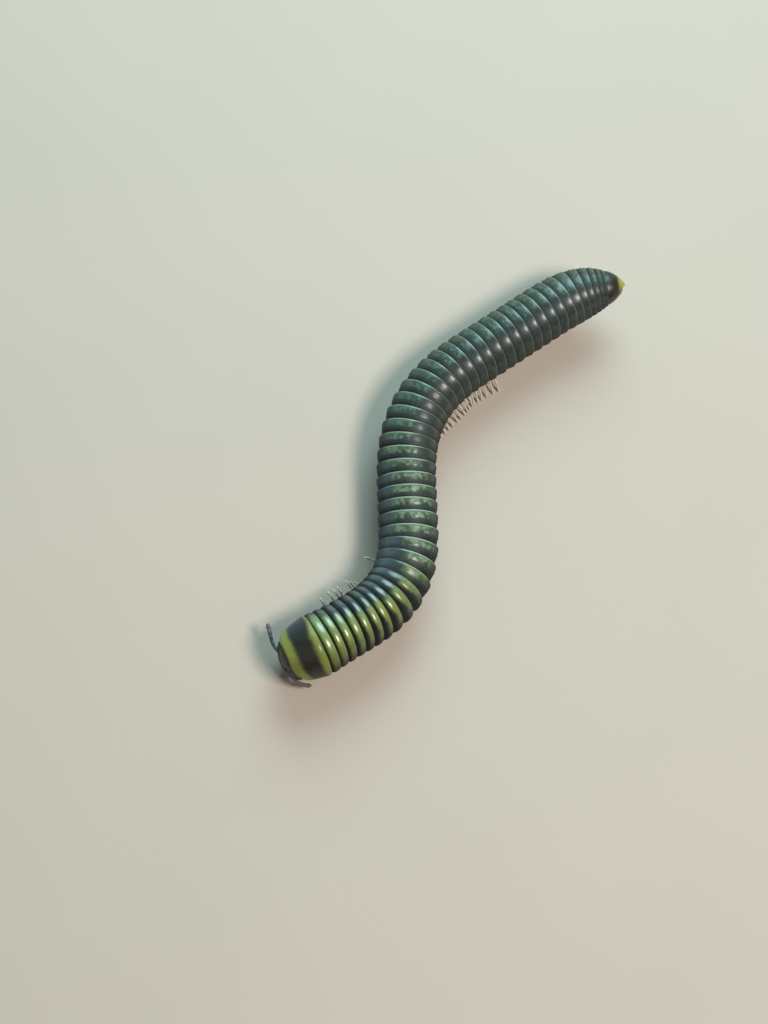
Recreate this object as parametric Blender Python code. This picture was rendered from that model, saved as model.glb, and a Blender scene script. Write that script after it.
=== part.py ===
"""A bumblebee millipede, Anadenobolus monilicornis, life size and still.

The animal stands on its legs, its body laid in a long S as seen from above, head drooping under
the collum. Sizes are in millimetres and become metres where a mesh is finished. X and Y lie in
the floor, Z is up, and the feet end on small flats at Z = 0.

A station is a distance along the body axis, measured in plan from the front of the head. An
angle round the body starts at the back of the animal (its top) and grows towards its left side.
"""

import math

import bmesh
import bpy
import numpy as np
from mathutils import Vector

MM = 0.001
GAP = 0.3
# Points this close become one.
WELD = 0.002
# Reaches past the piece that it is laid over.
FAR = 3.0
SHARP_ANGLE = 35.0

# Body axis: where it starts, which way it first runs, and its bends (start, length, turn).
AXIS_START = (-14.3, -16.975)
AXIS_HEADING = 24.5
BENDS = ((0.0, 6.0, 7.5), (6.5, 11.0, 60.0), (20.0, 15.0, -56.0), (42.1, 7.5, -30.0))
LENGTH = 50.15
AXIS_HEIGHT = 3.4
HEAD_DROOP = 0.55
DROOP_LENGTH = 8.0
TAIL_RISE = 1.15
RISE_START = 43.5
AXIS_STEP = 0.05

# Body thickness: the radius at mid-body, the flare towards the collum, and the taper of the tail.
RADIUS = 2.5
NECK_FLARE = 0.075
NECK_FADE = 1.3
TAPER_START = 36.0
TAPER_END = 50.3
TAPER_POWER = 4.0
TAPER_ROUND = 0.55
BELLY = 0.93

# Rings: the collum is ring 1, and the others follow in runs of (count, pitch).
COLLUM_REAR = 3.2
RING_RUNS = ((7, 0.86), (18, 1.118), (16, 1.03))
LAST_RINGS = 5
LAST_PITCH = 0.74
LAST_SHRINK = 0.8
RINGS_IN_A_LENGTH = 5
SIDES = 16
# Across one ring, from its front to its rear rim: (part of the pitch, part of the radius).
RING_PROFILE = ((0.07, 0.95), (0.45, 0.985), (0.8, 1.0), (1.0, 0.98))
# The first rows of a length lie at least this far behind its front face.
FIRST_ROW = 0.36

# Collum: a hood over the back of the head.
COLLUM_RADIUS = 2.72
COLLUM_FRONT_RADIUS = 2.3
COLLUM_FRONT = 0.5
COLLUM_LOBE = 1.8
LOBE_FROM = 45.0
LOBE_TO = 125.0
COLLUM_WALL = 0.38
COLLUM_FLOOR = 2.4
COLLUM_SIDES = 20
COLLUM_PROFILE = ((0.0, 0.975), (0.12, 1.0), (0.45, 0.99), (0.8, 0.93))
# Its lining, from the front edge inwards: (part of the way, part of the radius, part of the wall).
COLLUM_LINING = ((1.0, 0.94, 0.25), (0.97, 0.97, 1.0))

# Head: a rounded capsule, its centre's station and height, and its half sizes.
HEAD_STATION = 1.78
HEAD_HEIGHT = 2.62
HEAD_DEPTH = 1.55
HEAD_HALF_WIDTH = 1.98
HEAD_HALF_HEIGHT = 1.95
HEAD_POWER = 2.4
HEAD_BACK = COLLUM_FLOOR - GAP
HEAD_COLUMNS = 28
HEAD_ROWS = 16
CLYPEUS_FLARE = 0.16
CLYPEUS_FROM = 0.6
CLYPEUS_FADE = 1.1
LABRUM_NOTCH = 0.2
NOTCH_WIDTH = 0.35
CROWN_NARROWING = 0.07
JAW_INNER = 1.12
JAW_TOP = -0.35
JAW_FRONT = 0.45
CHIN_TOP = -1.0
CHIN_FRONT = 0.62
CUT_OVERLAP = 0.25

# Eyes: domes on flats cut in the upper sides of the head.
EYE_ACROSS = 0.45
EYE_RISE = 0.26
EYE_DIRECTION = (-0.62, 0.66, 0.42)
EYE_SEAT = 1.68
EYE_MARGIN = 0.18
DOME_PARTS = (0.0, 0.35, 0.7, 0.95)
DISC_SIDES = 12
DISC_DEPTH = 2.0

# Antennae: seven articles from a socket on the face, through the points of each side.
SOCKET_DIRECTION = (-0.86, 0.5, -0.02)
SOCKET_SEAT = 1.42
SOCKET_ACROSS = 0.36
ARTICLES = 7
ARTICLE_RADIUS = 0.25
ARTICLE_WAIST = 0.2
ARTICLE_SWELL = 0.6
CLUB_RADIUS = 0.29
CLUB_FROM = 3.0
CLUB_FADE = 2.0
ANTENNA_TIP = 0.12
ANTENNA_SIDES = 8
RIGHT_ANTENNA = ((-0.2, 1.5, 2.55), (0.45, 2.6, 2.4), (0.5, 3.5, 2.3))
LEFT_ANTENNA = ((-0.2, 1.45, 2.4), (0.7, 2.45, 1.9), (1.6, 2.6, 1.2))

# Legs: one pair on each ring that walks, with the size of its joints and reach of its foot.
FIRST_WALKING_RING = 2
LAST_WALKING_RING = 43
LEG_SIDES = 5
# A leg's place on its ring, as a part of the pitch, and the least distance behind another length.
LEG_PART = 0.6
FIRST_LEG = 0.72
LEG_ROOT = (0.42, 0.5)
LEG_KNEE = (1.72, 1.1)
LEG_THICKNESS = 0.25
ANKLE_THICKNESS = 0.2
FOOT_THICKNESS = 0.15
ANKLE_PART = 0.55
FOOT_REACH = 2.95
# Stretches of the body (side, from, to) whose legs are tucked in below it.
TUCKED = (("left", 0.0, 12.0), ("right", 9.0, 33.0), ("left", 37.0, 50.0))
TUCKED_REACH = 1.6
TUCKED_KNEE = 0.85
SWING = 0.3
KNEE_SWING = 0.5
WAVE_RINGS = 11.0
WAVE_SHIFT = 2.1
# Groups of legs (side, first ring, last ring) lifted off the floor in mid-stride.
LIFTED = (("right", 4, 9), ("right", 12, 15))
LIFTED_REACH = 3.4
LIFTED_HEIGHT = 1.6
LIFTED_FORWARD = 0.25
KNEE_FOLLOWS = 0.4

# Tail: the last ring's cone, its blunt dorsal tip, and the two valves that bulge below that.
# Its profile: (part of the length, part of the radius, the same for the lower half).
TELSON_PROFILE = (
    (0.0, 1.0, 1.0),
    (0.22, 0.9, 0.98),
    (0.46, 0.72, 0.93),
    (0.68, 0.5, 0.78),
    (0.85, 0.31, 0.52),
    (1.0, 0.13, 0.13),
)
VALVE_FRONT = 0.3
VALVE_TOP = -0.02

COLOURS = {
    "head": (0.055, 0.06, 0.062),
    "eye": (0.008, 0.008, 0.01),
    "antenna": (0.16, 0.17, 0.18),
    "collum": (0.24, 0.27, 0.04),
    "trunk": (0.05, 0.085, 0.075),
    "telson": (0.04, 0.032, 0.024),
    "valve": (0.07, 0.055, 0.035),
}
ROUGHNESS = {"eye": 0.15, "antenna": 0.5}
SHELL_ROUGHNESS = 0.32


def smooth(part):
    """Rises from 0 to 1 with no corner as its argument does."""
    part = min(max(part, 0.0), 1.0)
    return part * part * (3.0 - 2.0 * part)


def heading(station):
    """The direction of the axis in plan, towards the tail, in radians."""
    turned = sum(turn * smooth((station - start) / length) for start, length, turn in BENDS)
    return math.radians(AXIS_HEADING + turned)


def axis_height(station):
    """The height of the axis, lower at the head and higher at the tip of the tail."""
    droop = HEAD_DROOP * (1.0 - smooth(station / DROOP_LENGTH))
    rise = TAIL_RISE * smooth((station - RISE_START) / (LENGTH - RISE_START))
    return AXIS_HEIGHT - droop + rise


def lay_axis():
    """Stations and plan positions of close points on the axis."""
    stations = np.arange(-1.0, LENGTH + 1.0, AXIS_STEP)
    middles = [heading(station - AXIS_STEP / 2.0) for station in stations[1:]]
    steps_x = AXIS_STEP * np.cos(middles)
    steps_y = AXIS_STEP * np.sin(middles)
    xs = np.concatenate([[0.0], np.cumsum(steps_x)])
    ys = np.concatenate([[0.0], np.cumsum(steps_y)])
    xs += AXIS_START[0] - np.interp(0.0, stations, xs)
    ys += AXIS_START[1] - np.interp(0.0, stations, ys)
    return stations, xs, ys


STATIONS, AXIS_X, AXIS_Y = lay_axis()


class Place:
    """A point of the axis with the directions aft, left and up there."""

    def __init__(self, station):
        self.centre = Vector(
            (
                float(np.interp(station, STATIONS, AXIS_X)),
                float(np.interp(station, STATIONS, AXIS_Y)),
                axis_height(station),
            )
        )
        turned = heading(station)
        slope = (axis_height(station + AXIS_STEP) - axis_height(station - AXIS_STEP)) / (2.0 * AXIS_STEP)
        self.aft = Vector((math.cos(turned), math.sin(turned), slope)).normalized()
        self.left = Vector((math.sin(turned), -math.cos(turned), 0.0))
        self.up = self.left.cross(self.aft).normalized()

    def point(self, aft, left, up):
        """The point at these distances from the centre."""
        return self.centre + self.aft * aft + self.left * left + self.up * up

    def levelled(self, height):
        """The same place at another height, with its directions level and upright."""
        self.centre.z = height
        self.aft = Vector((self.aft.x, self.aft.y, 0.0)).normalized()
        self.up = Vector((0.0, 0.0, 1.0))
        return self


def body_radius(station):
    """The half width of the body at a station."""
    flare = 1.0 + NECK_FLARE * math.exp(-max(station - COLLUM_REAR, 0.0) / NECK_FADE)
    along = min(max((station - TAPER_START) / (TAPER_END - TAPER_START), 0.0), 1.0)
    return RADIUS * flare * (1.0 - along**TAPER_POWER) ** TAPER_ROUND


def ring_rears():
    """The station of the rear rim of each ring, the collum's first."""
    rears = [COLLUM_REAR]
    for count, pitch in RING_RUNS:
        for _ in range(count):
            rears.append(rears[-1] + pitch)
    for index in range(LAST_RINGS):
        rears.append(rears[-1] + LAST_PITCH * LAST_SHRINK**index)
    return rears


REARS = ring_rears()
LAST_RING = len(REARS)


def girth(place, radius, offset=0.0, belly=BELLY):
    """A row of points round the body, flatter below, from its top and round by its left side."""
    row = []
    for index in range(SIDES):
        angle = 2.0 * math.pi * index / SIDES
        across = radius * math.sin(angle)
        rise = radius * math.cos(angle)
        if rise < 0.0:
            rise *= belly
        row.append(place.point(offset, across, rise))
    return row


def solid_from_rows(rows, name):
    """A closed solid through rows of equal length, with a flat end at the first and last."""
    mesh = bmesh.new()
    grid = [[mesh.verts.new(point) for point in row] for row in rows]
    sides = len(rows[0])
    for first, second in zip(grid, grid[1:]):
        for index in range(sides):
            after = (index + 1) % sides
            mesh.faces.new((first[index], first[after], second[after], second[index]))
    mesh.faces.new(grid[0])
    mesh.faces.new(list(reversed(grid[-1])))
    return solid(mesh, name)


def solid(mesh, name):
    """An object from a bmesh in millimetres, its faces made triangles that point outwards."""
    bmesh.ops.triangulate(mesh, faces=mesh.faces[:])
    bmesh.ops.recalc_face_normals(mesh, faces=mesh.faces[:])
    data = bpy.data.meshes.new(name)
    mesh.to_mesh(data)
    mesh.free()
    made = bpy.data.objects.new(name, data)
    bpy.context.scene.collection.objects.link(made)
    return made


def block(place, lowest, highest, name):
    """A box between two corners, each given as distances aft, left and up of a place."""
    mesh = bmesh.new()
    bmesh.ops.create_cube(mesh, size=1.0)
    middle = [(low + high) / 2.0 for low, high in zip(lowest, highest)]
    size = [high - low for low, high in zip(lowest, highest)]
    for vert in mesh.verts:
        aft, left, up = (m + c * s for m, c, s in zip(middle, vert.co, size))
        vert.co = place.point(aft, left, up)
    return solid(mesh, name)


def apply_modifiers(made):
    """Replaces an object's mesh by the one that its modifiers give."""
    graph = bpy.context.evaluated_depsgraph_get()
    data = bpy.data.meshes.new_from_object(made.evaluated_get(graph))
    made.modifiers.clear()
    made.data = data
    return made


def remove(objects):
    """Takes helper objects out of the scene."""
    for helper in list(objects):
        bpy.data.objects.remove(helper)


def combine(made, helpers, operation):
    """Joins helpers to an object, cuts them from it or keeps what they share, and removes them."""
    group = bpy.data.collections.new(made.name + "_pieces")
    for helper in helpers:
        group.objects.link(helper)
    boolean = made.modifiers.new("join", "BOOLEAN")
    boolean.operation = operation
    boolean.operand_type = "COLLECTION"
    boolean.collection = group
    boolean.solver = "EXACT"
    apply_modifiers(made)
    remove(helpers)
    bpy.data.collections.remove(group)
    return keep_largest(made)


def shells(mesh):
    """The separate closed surfaces of a bmesh, as lists of its points."""
    left_over = set(mesh.verts)
    found = []
    while left_over:
        waiting = [left_over.pop()]
        shell = []
        while waiting:
            vert = waiting.pop()
            shell.append(vert)
            for edge in vert.link_edges:
                other = edge.other_vert(vert)
                if other in left_over:
                    left_over.remove(other)
                    waiting.append(other)
        found.append(shell)
    return found


def extent(points):
    """The diagonal of the box round some points."""
    spans = [max(p.co[axis] for p in points) - min(p.co[axis] for p in points) for axis in range(3)]
    return math.hypot(*spans)


def keep_largest(made):
    """Drops every loose scrap but the largest closed surface."""
    mesh = bmesh.new()
    mesh.from_mesh(made.data)
    found = sorted(shells(mesh), key=extent)
    for shell in found[:-1]:
        bmesh.ops.delete(mesh, geom=shell, context="VERTS")
    bmesh.ops.dissolve_degenerate(mesh, dist=WELD, edges=mesh.edges[:])
    bmesh.ops.triangulate(mesh, faces=mesh.faces[:])
    mesh.to_mesh(made.data)
    mesh.free()
    return made


def finish(made, finish_name):
    """Brings a piece from millimetres to metres, shades it and gives it its own material."""
    made.data.transform(((MM, 0, 0, 0), (0, MM, 0, 0), (0, 0, MM, 0), (0, 0, 0, 1)))
    made.data.shade_smooth()
    made.data.set_sharp_from_angle(angle=math.radians(SHARP_ANGLE))
    material = bpy.data.materials.new(made.name)
    material.use_nodes = True
    shader = material.node_tree.nodes["Principled BSDF"]
    shader.inputs["Base Color"].default_value = (*COLOURS[finish_name], 1.0)
    shader.inputs["Roughness"].default_value = ROUGHNESS.get(finish_name, SHELL_ROUGHNESS)
    made.data.materials.clear()
    made.data.materials.append(material)
    return made


def circle(centre, across, upright, radius, sides):
    """Points on a circle round a centre, in the plane of two directions."""
    angles = [2.0 * math.pi * step / sides for step in range(sides)]
    return [centre + (across * math.cos(angle) + upright * math.sin(angle)) * radius for angle in angles]


def tube(points, radii, sides, name, level_end=False):
    """A tapered tube through points, with flat ends, the last one level where it is a foot."""
    rows = []
    for index, (centre, radius) in enumerate(zip(points, radii)):
        before = points[max(index - 1, 0)]
        after = points[min(index + 1, len(points) - 1)]
        along = (after - before).normalized()
        if level_end and index == len(points) - 1:
            along = Vector((0.0, 0.0, -1.0))
        side = along.cross(Vector((0.0, 0.0, 1.0)))
        if side.length < 0.01:
            side = (points[-1] - points[0]).cross(Vector((0.0, 0.0, 1.0)))
        side.normalize()
        rows.append(circle(centre, side, side.cross(along).normalized(), radius, sides))
    return solid_from_rows(rows, name)


def side_sign(side):
    """1 on the animal's left and -1 on its right."""
    return 1.0 if side == "left" else -1.0


def lift_of(ring, side):
    """How far a leg is through its stride, from 0 on the floor to 1 at its highest."""
    for lifted_side, first, last in LIFTED:
        if side == lifted_side and first <= ring <= last:
            return math.sin(math.pi * (ring - first + 1.0) / (last - first + 2.0))
    return 0.0


def stance(station, side):
    """How far out from the middle the knee and the foot of a leg on the floor are."""
    tucked = any(side == name and first <= station <= last for name, first, last in TUCKED)
    return (LEG_KNEE[0] * TUCKED_KNEE, TUCKED_REACH) if tucked else (LEG_KNEE[0], FOOT_REACH)


def leg(ring, side, first):
    """One leg, from a root sunk in the belly of a length's ring, over its knee, to its foot."""
    pitch = REARS[ring - 1] - REARS[ring - 2]
    station = max(REARS[ring - 2] + pitch * LEG_PART, REARS[first - 2] + FIRST_LEG)
    place = Place(station).levelled(0.0)
    sign = side_sign(side)
    girth_part = body_radius(station) / RADIUS
    phase = 2.0 * math.pi * (ring + (WAVE_SHIFT if side == "left" else 0.0)) / WAVE_RINGS
    swing = SWING * math.sin(phase)
    lift = lift_of(ring, side)
    belly = axis_height(station) - body_radius(station) * BELLY
    root = place.point(0.0, sign * LEG_ROOT[0] * girth_part, belly + LEG_ROOT[1])
    knee_reach, standing_reach = stance(station, side)
    reach = standing_reach * girth_part * (1.0 - lift) + LIFTED_REACH * lift
    foot_height = LIFTED_HEIGHT * lift
    knee_height = LEG_KNEE[1] + KNEE_FOLLOWS * foot_height
    knee = place.point(swing * KNEE_SWING, sign * knee_reach * girth_part, knee_height)
    foot = place.point(swing - LIFTED_FORWARD * lift, sign * reach, foot_height)
    ankle = knee.lerp(foot, ANKLE_PART)
    radii = (LEG_THICKNESS, LEG_THICKNESS, ANKLE_THICKNESS, FOOT_THICKNESS)
    return tube([root, knee, ankle, foot], radii, LEG_SIDES, "leg", level_end=lift == 0.0)


def make_trunk_length(number, first, last):
    """A length of the body from one ring to another, with the legs that grow from it."""
    front = Place(REARS[first - 2])
    rows = []
    for ring in range(first, last + 1):
        start = REARS[ring - 2]
        pitch = REARS[ring - 1] - start
        for part, thickness in RING_PROFILE:
            if ring == first and part == RING_PROFILE[0][0]:
                rows.append(girth(front, body_radius(start) * thickness, offset=GAP))
            elif ring > first or part * pitch > FIRST_ROW:
                station = start + part * pitch
                rows.append(girth(Place(station), body_radius(station) * thickness))
    made = solid_from_rows(rows, f"trunk_{number}")
    walking = range(max(first, FIRST_WALKING_RING), min(last, LAST_WALKING_RING) + 1)
    legs = [leg(ring, side, first) for ring in walking for side in ("left", "right")]
    if legs:
        combine(made, legs, "UNION")
    return finish(made, "trunk")


def make_trunk():
    """All the lengths between the collum and the telson."""
    firsts = list(range(2, LAST_RING, RINGS_IN_A_LENGTH))
    if LAST_RING - firsts[-1] < RINGS_IN_A_LENGTH - 1:
        firsts.pop()
    for number, first in enumerate(firsts, start=1):
        last = firsts[number] - 1 if number < len(firsts) else LAST_RING
        make_trunk_length(number, first, last)


def collum_front(angle):
    """The station of the collum's front edge, which runs back on each side to a rounded lobe."""
    turned = abs(math.degrees(math.remainder(angle, 2.0 * math.pi)))
    return COLLUM_FRONT + COLLUM_LOBE * smooth((turned - LOBE_FROM) / (LOBE_TO - LOBE_FROM))


def collum_row(part, scale, wall, floor=False):
    """A row round the hood at a part of the way from its rear to its front edge."""
    row = []
    for index in range(COLLUM_SIDES):
        angle = 2.0 * math.pi * index / COLLUM_SIDES
        edge = collum_front(angle)
        station = COLLUM_FLOOR if floor else COLLUM_REAR + (edge - COLLUM_REAR) * part
        along = (COLLUM_REAR - station) / (COLLUM_REAR - COLLUM_FRONT)
        radius = COLLUM_RADIUS + (COLLUM_FRONT_RADIUS - COLLUM_RADIUS) * along**2
        radius = radius * scale - wall
        rise = radius * math.cos(angle)
        if rise < 0.0:
            rise *= BELLY
        row.append(Place(station).point(0.0, radius * math.sin(angle), rise))
    return row


def make_collum():
    """The shield over the back of the head, hollow in front where the head goes in."""
    rows = [collum_row(part, scale, 0.0) for part, scale in COLLUM_PROFILE]
    rows.extend(collum_row(part, scale, COLLUM_WALL * wall) for part, scale, wall in COLLUM_LINING)
    rows.append(collum_row(1.0, 1.0, COLLUM_WALL, floor=True))
    return finish(solid_from_rows(rows, "collum"), "collum")


def head_place():
    """The head's own place, level, with its centre at the head's height."""
    return Place(HEAD_STATION).levelled(HEAD_HEIGHT)


def head_point(polar, turn):
    """A point of the capsule: polar runs from its top down, turn from its face round by its left."""
    direction = (-math.sin(polar) * math.cos(turn), math.sin(polar) * math.sin(turn), math.cos(polar))
    halves = (HEAD_DEPTH, HEAD_HALF_WIDTH, HEAD_HALF_HEIGHT)
    total = sum(abs(part / half) ** HEAD_POWER for part, half in zip(direction, halves))
    reach = total ** (-1.0 / HEAD_POWER)
    aft, left, up = (part * reach for part in direction)
    low = smooth((-up - CLYPEUS_FROM) / CLYPEUS_FADE)
    facing = max(math.cos(turn), 0.0) * math.sin(polar)
    aft -= CLYPEUS_FLARE * low * facing
    up += LABRUM_NOTCH * low * facing * math.exp(-((left / NOTCH_WIDTH) ** 2))
    left *= 1.0 - CROWN_NARROWING * smooth(up / HEAD_HALF_HEIGHT)
    return aft, left, up


def head_whole(name):
    """The whole head as one closed capsule."""
    place = head_place()
    mesh = bmesh.new()
    top = mesh.verts.new(place.point(*head_point(0.0, 0.0)))
    bottom = mesh.verts.new(place.point(*head_point(math.pi, 0.0)))
    grid = []
    for row in range(1, HEAD_ROWS):
        polar = math.pi * row / HEAD_ROWS
        turns = [2.0 * math.pi * column / HEAD_COLUMNS for column in range(HEAD_COLUMNS)]
        grid.append([mesh.verts.new(place.point(*head_point(polar, turn))) for turn in turns])
    for column in range(HEAD_COLUMNS):
        after = (column + 1) % HEAD_COLUMNS
        mesh.faces.new((top, grid[0][column], grid[0][after]))
        mesh.faces.new((bottom, grid[-1][after], grid[-1][column]))
        for first, second in zip(grid, grid[1:]):
            mesh.faces.new((first[column], second[column], second[after], first[after]))
    return solid(mesh, name)


def head_cutters(grow):
    """The regions of the jaws and chin as boxes, each made larger by a margin on its inner sides."""
    place = head_place()
    back = HEAD_BACK - HEAD_STATION
    jaw_low = (JAW_FRONT - HEAD_DEPTH - grow, JAW_INNER - grow, -FAR)
    jaw_high = (FAR, FAR, JAW_TOP + grow)
    left_jaw = block(place, jaw_low, jaw_high, "jaw_region_left")
    right_low = (jaw_low[0], -FAR, -FAR)
    right_high = (jaw_high[0], -jaw_low[1], jaw_high[2])
    right_jaw = block(place, right_low, right_high, "jaw_region_right")
    # The chin's cut reaches a little into those of the jaws, so that no film is left between them.
    chin_side = JAW_INNER - GAP + grow + max(grow, 0.0) * CUT_OVERLAP
    chin_low = (CHIN_FRONT - HEAD_DEPTH - grow, -chin_side, -FAR)
    chin = block(place, chin_low, (FAR, chin_side, CHIN_TOP + grow), "chin_region")
    behind = block(place, (back, -FAR, -FAR), (FAR + FAR, FAR, FAR), "behind_head")
    return left_jaw, right_jaw, chin, behind


def seat(direction, side, reach):
    """A place on the head, looking outwards: its centre, and directions outwards, across and up."""
    place = head_place()
    aft, left, up = direction
    outwards = place.aft * aft + place.left * left * side_sign(side) + place.up * up
    outwards.normalize()
    across = outwards.cross(place.up).normalized()
    upright = across.cross(outwards).normalized()
    return place.centre + outwards * reach, outwards, across, upright


def disc_cutter(direction, side, reach, radius, name):
    """A round cutter that leaves a flat seat at a distance from the head's centre."""
    centre, outwards, across, upright = seat(direction, side, reach)
    ends = (centre, centre + outwards * DISC_DEPTH)
    return solid_from_rows([circle(end, across, upright, radius, DISC_SIDES) for end in ends], name)


def make_head():
    """The capsule with the jaws, chin plate, eye seats and antenna sockets cut from it."""
    made = head_whole("head")
    cutters = list(head_cutters(GAP / 2.0))
    for side in ("left", "right"):
        cutters.append(disc_cutter(EYE_DIRECTION, side, EYE_SEAT, EYE_ACROSS + EYE_MARGIN, "eye_seat"))
        cutters.append(disc_cutter(SOCKET_DIRECTION, side, SOCKET_SEAT, SOCKET_ACROSS, "socket"))
    combine(made, cutters, "DIFFERENCE")
    return finish(made, "head")


def make_mouthparts():
    """The two jaws at the lower sides of the head and the chin plate between them."""
    for index, name in enumerate(("jaw_left", "jaw_right", "chin_plate")):
        regions = head_cutters(-GAP / 2.0)
        region = regions[index]
        remove(other for other in regions[:3] if other is not region)
        made = head_whole(name)
        combine(made, [regions[3]], "DIFFERENCE")
        combine(made, [region], "INTERSECT")
        finish(made, "head")


def make_eye(side):
    """A dome of a great many small lenses, here one smooth oval, on its seat."""
    centre, outwards, across, upright = seat(EYE_DIRECTION, side, EYE_SEAT + GAP)
    rows = []
    for part in DOME_PARTS:
        radius = EYE_ACROSS * math.sqrt(1.0 - part**2)
        rows.append(circle(centre + outwards * EYE_RISE * part, across, upright, radius, DISC_SIDES))
    return finish(solid_from_rows(rows, f"eye_{side}"), "eye")


def along_points(points, part):
    """A point at a part of the way along a smooth curve through four points."""
    first, second, third, fourth = points
    rest = 1.0 - part
    return first * rest**3 + second * 3 * rest**2 * part + third * 3 * rest * part**2 + fourth * part**3


def make_antenna(side, corners):
    """Seven beaded articles, the last ones a little club, curved out and back from the socket."""
    socket, outwards, _, _ = seat(SOCKET_DIRECTION, side, SOCKET_SEAT + GAP)
    place = Place(0.0).levelled(0.0)
    sign = side_sign(side)
    guides = [socket] + [place.point(aft, left * sign, up) for aft, left, up in corners]
    points = []
    radii = []
    for article in range(ARTICLES):
        club = smooth((article - CLUB_FROM) / CLUB_FADE)
        swell = ARTICLE_RADIUS + (CLUB_RADIUS - ARTICLE_RADIUS) * club
        for part, radius in ((0.0, ARTICLE_WAIST), (ARTICLE_SWELL, swell)):
            points.append(along_points(guides, (article + part) / ARTICLES))
            radii.append(radius)
    points.append(along_points(guides, 1.0))
    radii.append(ANTENNA_TIP)
    return finish(tube(points, radii, ANTENNA_SIDES, f"antenna_{side}"), "antenna")


def telson_whole(name):
    """The end of the body as one cone with a blunt tip."""
    front = Place(REARS[-1])
    start = REARS[-1] + GAP
    radius = body_radius(REARS[-1]) * RING_PROFILE[0][1]
    rows = [girth(front, radius, offset=GAP)]
    for part, thickness, lower in TELSON_PROFILE[1:]:
        place = Place(start + (LENGTH - start) * part)
        rows.append(girth(place, radius * thickness, belly=BELLY * lower / thickness))
    return solid_from_rows(rows, name)


def valve_region(side, grow):
    """The box that holds a valve, made larger by a margin on its inner sides."""
    place = Place(REARS[-1] + GAP)
    start = (LENGTH - REARS[-1] - GAP) * VALVE_FRONT - grow
    inner = GAP / 2.0 - grow
    low, high = (start, inner, -FAR), (FAR, FAR, VALVE_TOP + grow)
    if side == "right":
        low, high = (start, -FAR, -FAR), (FAR, -inner, VALVE_TOP + grow)
    return block(place, low, high, "valve_region")


def make_tail():
    """The telson with its dorsal tip, and the two valves that close the body below the tip."""
    telson = telson_whole("telson")
    combine(telson, [valve_region(side, GAP) for side in ("left", "right")], "DIFFERENCE")
    finish(telson, "telson")
    for side in ("left", "right"):
        valve = telson_whole(f"anal_valve_{side}")
        combine(valve, [valve_region(side, 0.0)], "INTERSECT")
        finish(valve, "valve")


def main():
    """Clears the scene and makes each piece of the animal."""
    for old in list(bpy.data.objects):
        bpy.data.objects.remove(old)
    make_head()
    make_mouthparts()
    for side, corners in (("left", LEFT_ANTENNA), ("right", RIGHT_ANTENNA)):
        make_eye(side)
        make_antenna(side, corners)
    make_collum()
    make_trunk()
    make_tail()


main()
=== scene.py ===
"""Looks of a bumblebee millipede, Anadenobolus monilicornis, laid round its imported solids.

Sizes are in millimetres until a mesh is finished, and in metres after that. A station is a
distance along the body axis, in plan, from the front of the head. Rings are counted from the
collum, which is ring 1. An angle round the body starts at its top and grows to its left.
"""

import logging
import math
from collections.abc import Callable, Sequence
from dataclasses import dataclass, field
from enum import Enum

import bmesh
import bpy
import numpy as np
from mathutils import Matrix, Vector

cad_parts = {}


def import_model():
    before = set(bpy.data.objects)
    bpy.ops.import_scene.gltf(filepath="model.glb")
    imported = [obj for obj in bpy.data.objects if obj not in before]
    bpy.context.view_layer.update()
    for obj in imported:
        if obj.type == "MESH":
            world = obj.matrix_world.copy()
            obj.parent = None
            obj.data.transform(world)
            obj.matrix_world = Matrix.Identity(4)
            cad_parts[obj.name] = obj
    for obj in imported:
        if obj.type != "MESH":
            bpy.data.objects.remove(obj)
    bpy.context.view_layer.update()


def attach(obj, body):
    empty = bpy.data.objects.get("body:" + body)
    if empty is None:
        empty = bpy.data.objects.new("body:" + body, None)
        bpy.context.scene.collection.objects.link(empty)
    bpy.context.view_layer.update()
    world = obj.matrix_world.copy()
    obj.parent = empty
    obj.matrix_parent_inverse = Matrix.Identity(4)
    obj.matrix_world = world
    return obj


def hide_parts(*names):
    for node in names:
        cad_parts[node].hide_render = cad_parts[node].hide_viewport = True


LOG = logging.getLogger("millipede")
MM = 0.001
BODY = "root"
Colour = tuple[float, float, float]
Point = tuple[float, float, float]
Pair = tuple[float, float]
Socket = bpy.types.NodeSocket
Finish = bpy.types.Material
Piece = bpy.types.Object


class Side(Enum):
    """The animal's own sides, with the sign that each has across the body."""

    LEFT = 1.0
    RIGHT = -1.0

    @property
    def word(self) -> str:
        """The side's name in lower case."""
        return self.name.lower()


def smooth(part: float) -> float:
    """Rises from 0 to 1 with no corner as its argument does."""
    part = min(max(part, 0.0), 1.0)
    return part * part * (3.0 - 2.0 * part)


def hill(value: float, middle: float, width: float) -> float:
    """A bell curve of height 1."""
    return math.exp(-(((value - middle) / width) ** 2))


def from_top(angle: float) -> float:
    """How many degrees an angle round the body lies from its top, on either side."""
    return abs(math.degrees(math.remainder(angle, 2.0 * math.pi)))


def looked_up(table: Sequence[Sequence[float]], where: float) -> list[float]:
    """The numbers of a table at a value of its first column."""
    first, *others = zip(*table)
    return [float(np.interp(where, first, column)) for column in others]


@dataclass(frozen=True)
class Place:
    """A point with the directions aft, left and up there."""

    centre: Vector
    aft: Vector
    left: Vector
    up: Vector

    def point(self, aft: float, left: float, up: float) -> Vector:
        """The point at these distances from the centre."""
        return self.centre + self.aft * aft + self.left * left + self.up * up

    def levelled(self, height: float) -> "Place":
        """The same place at another height, with its directions level and upright."""
        aft = Vector((self.aft.x, self.aft.y, 0.0)).normalized()
        centre = Vector((self.centre.x, self.centre.y, height))
        return Place(centre, aft, self.left, Vector((0.0, 0.0, 1.0)))


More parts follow.
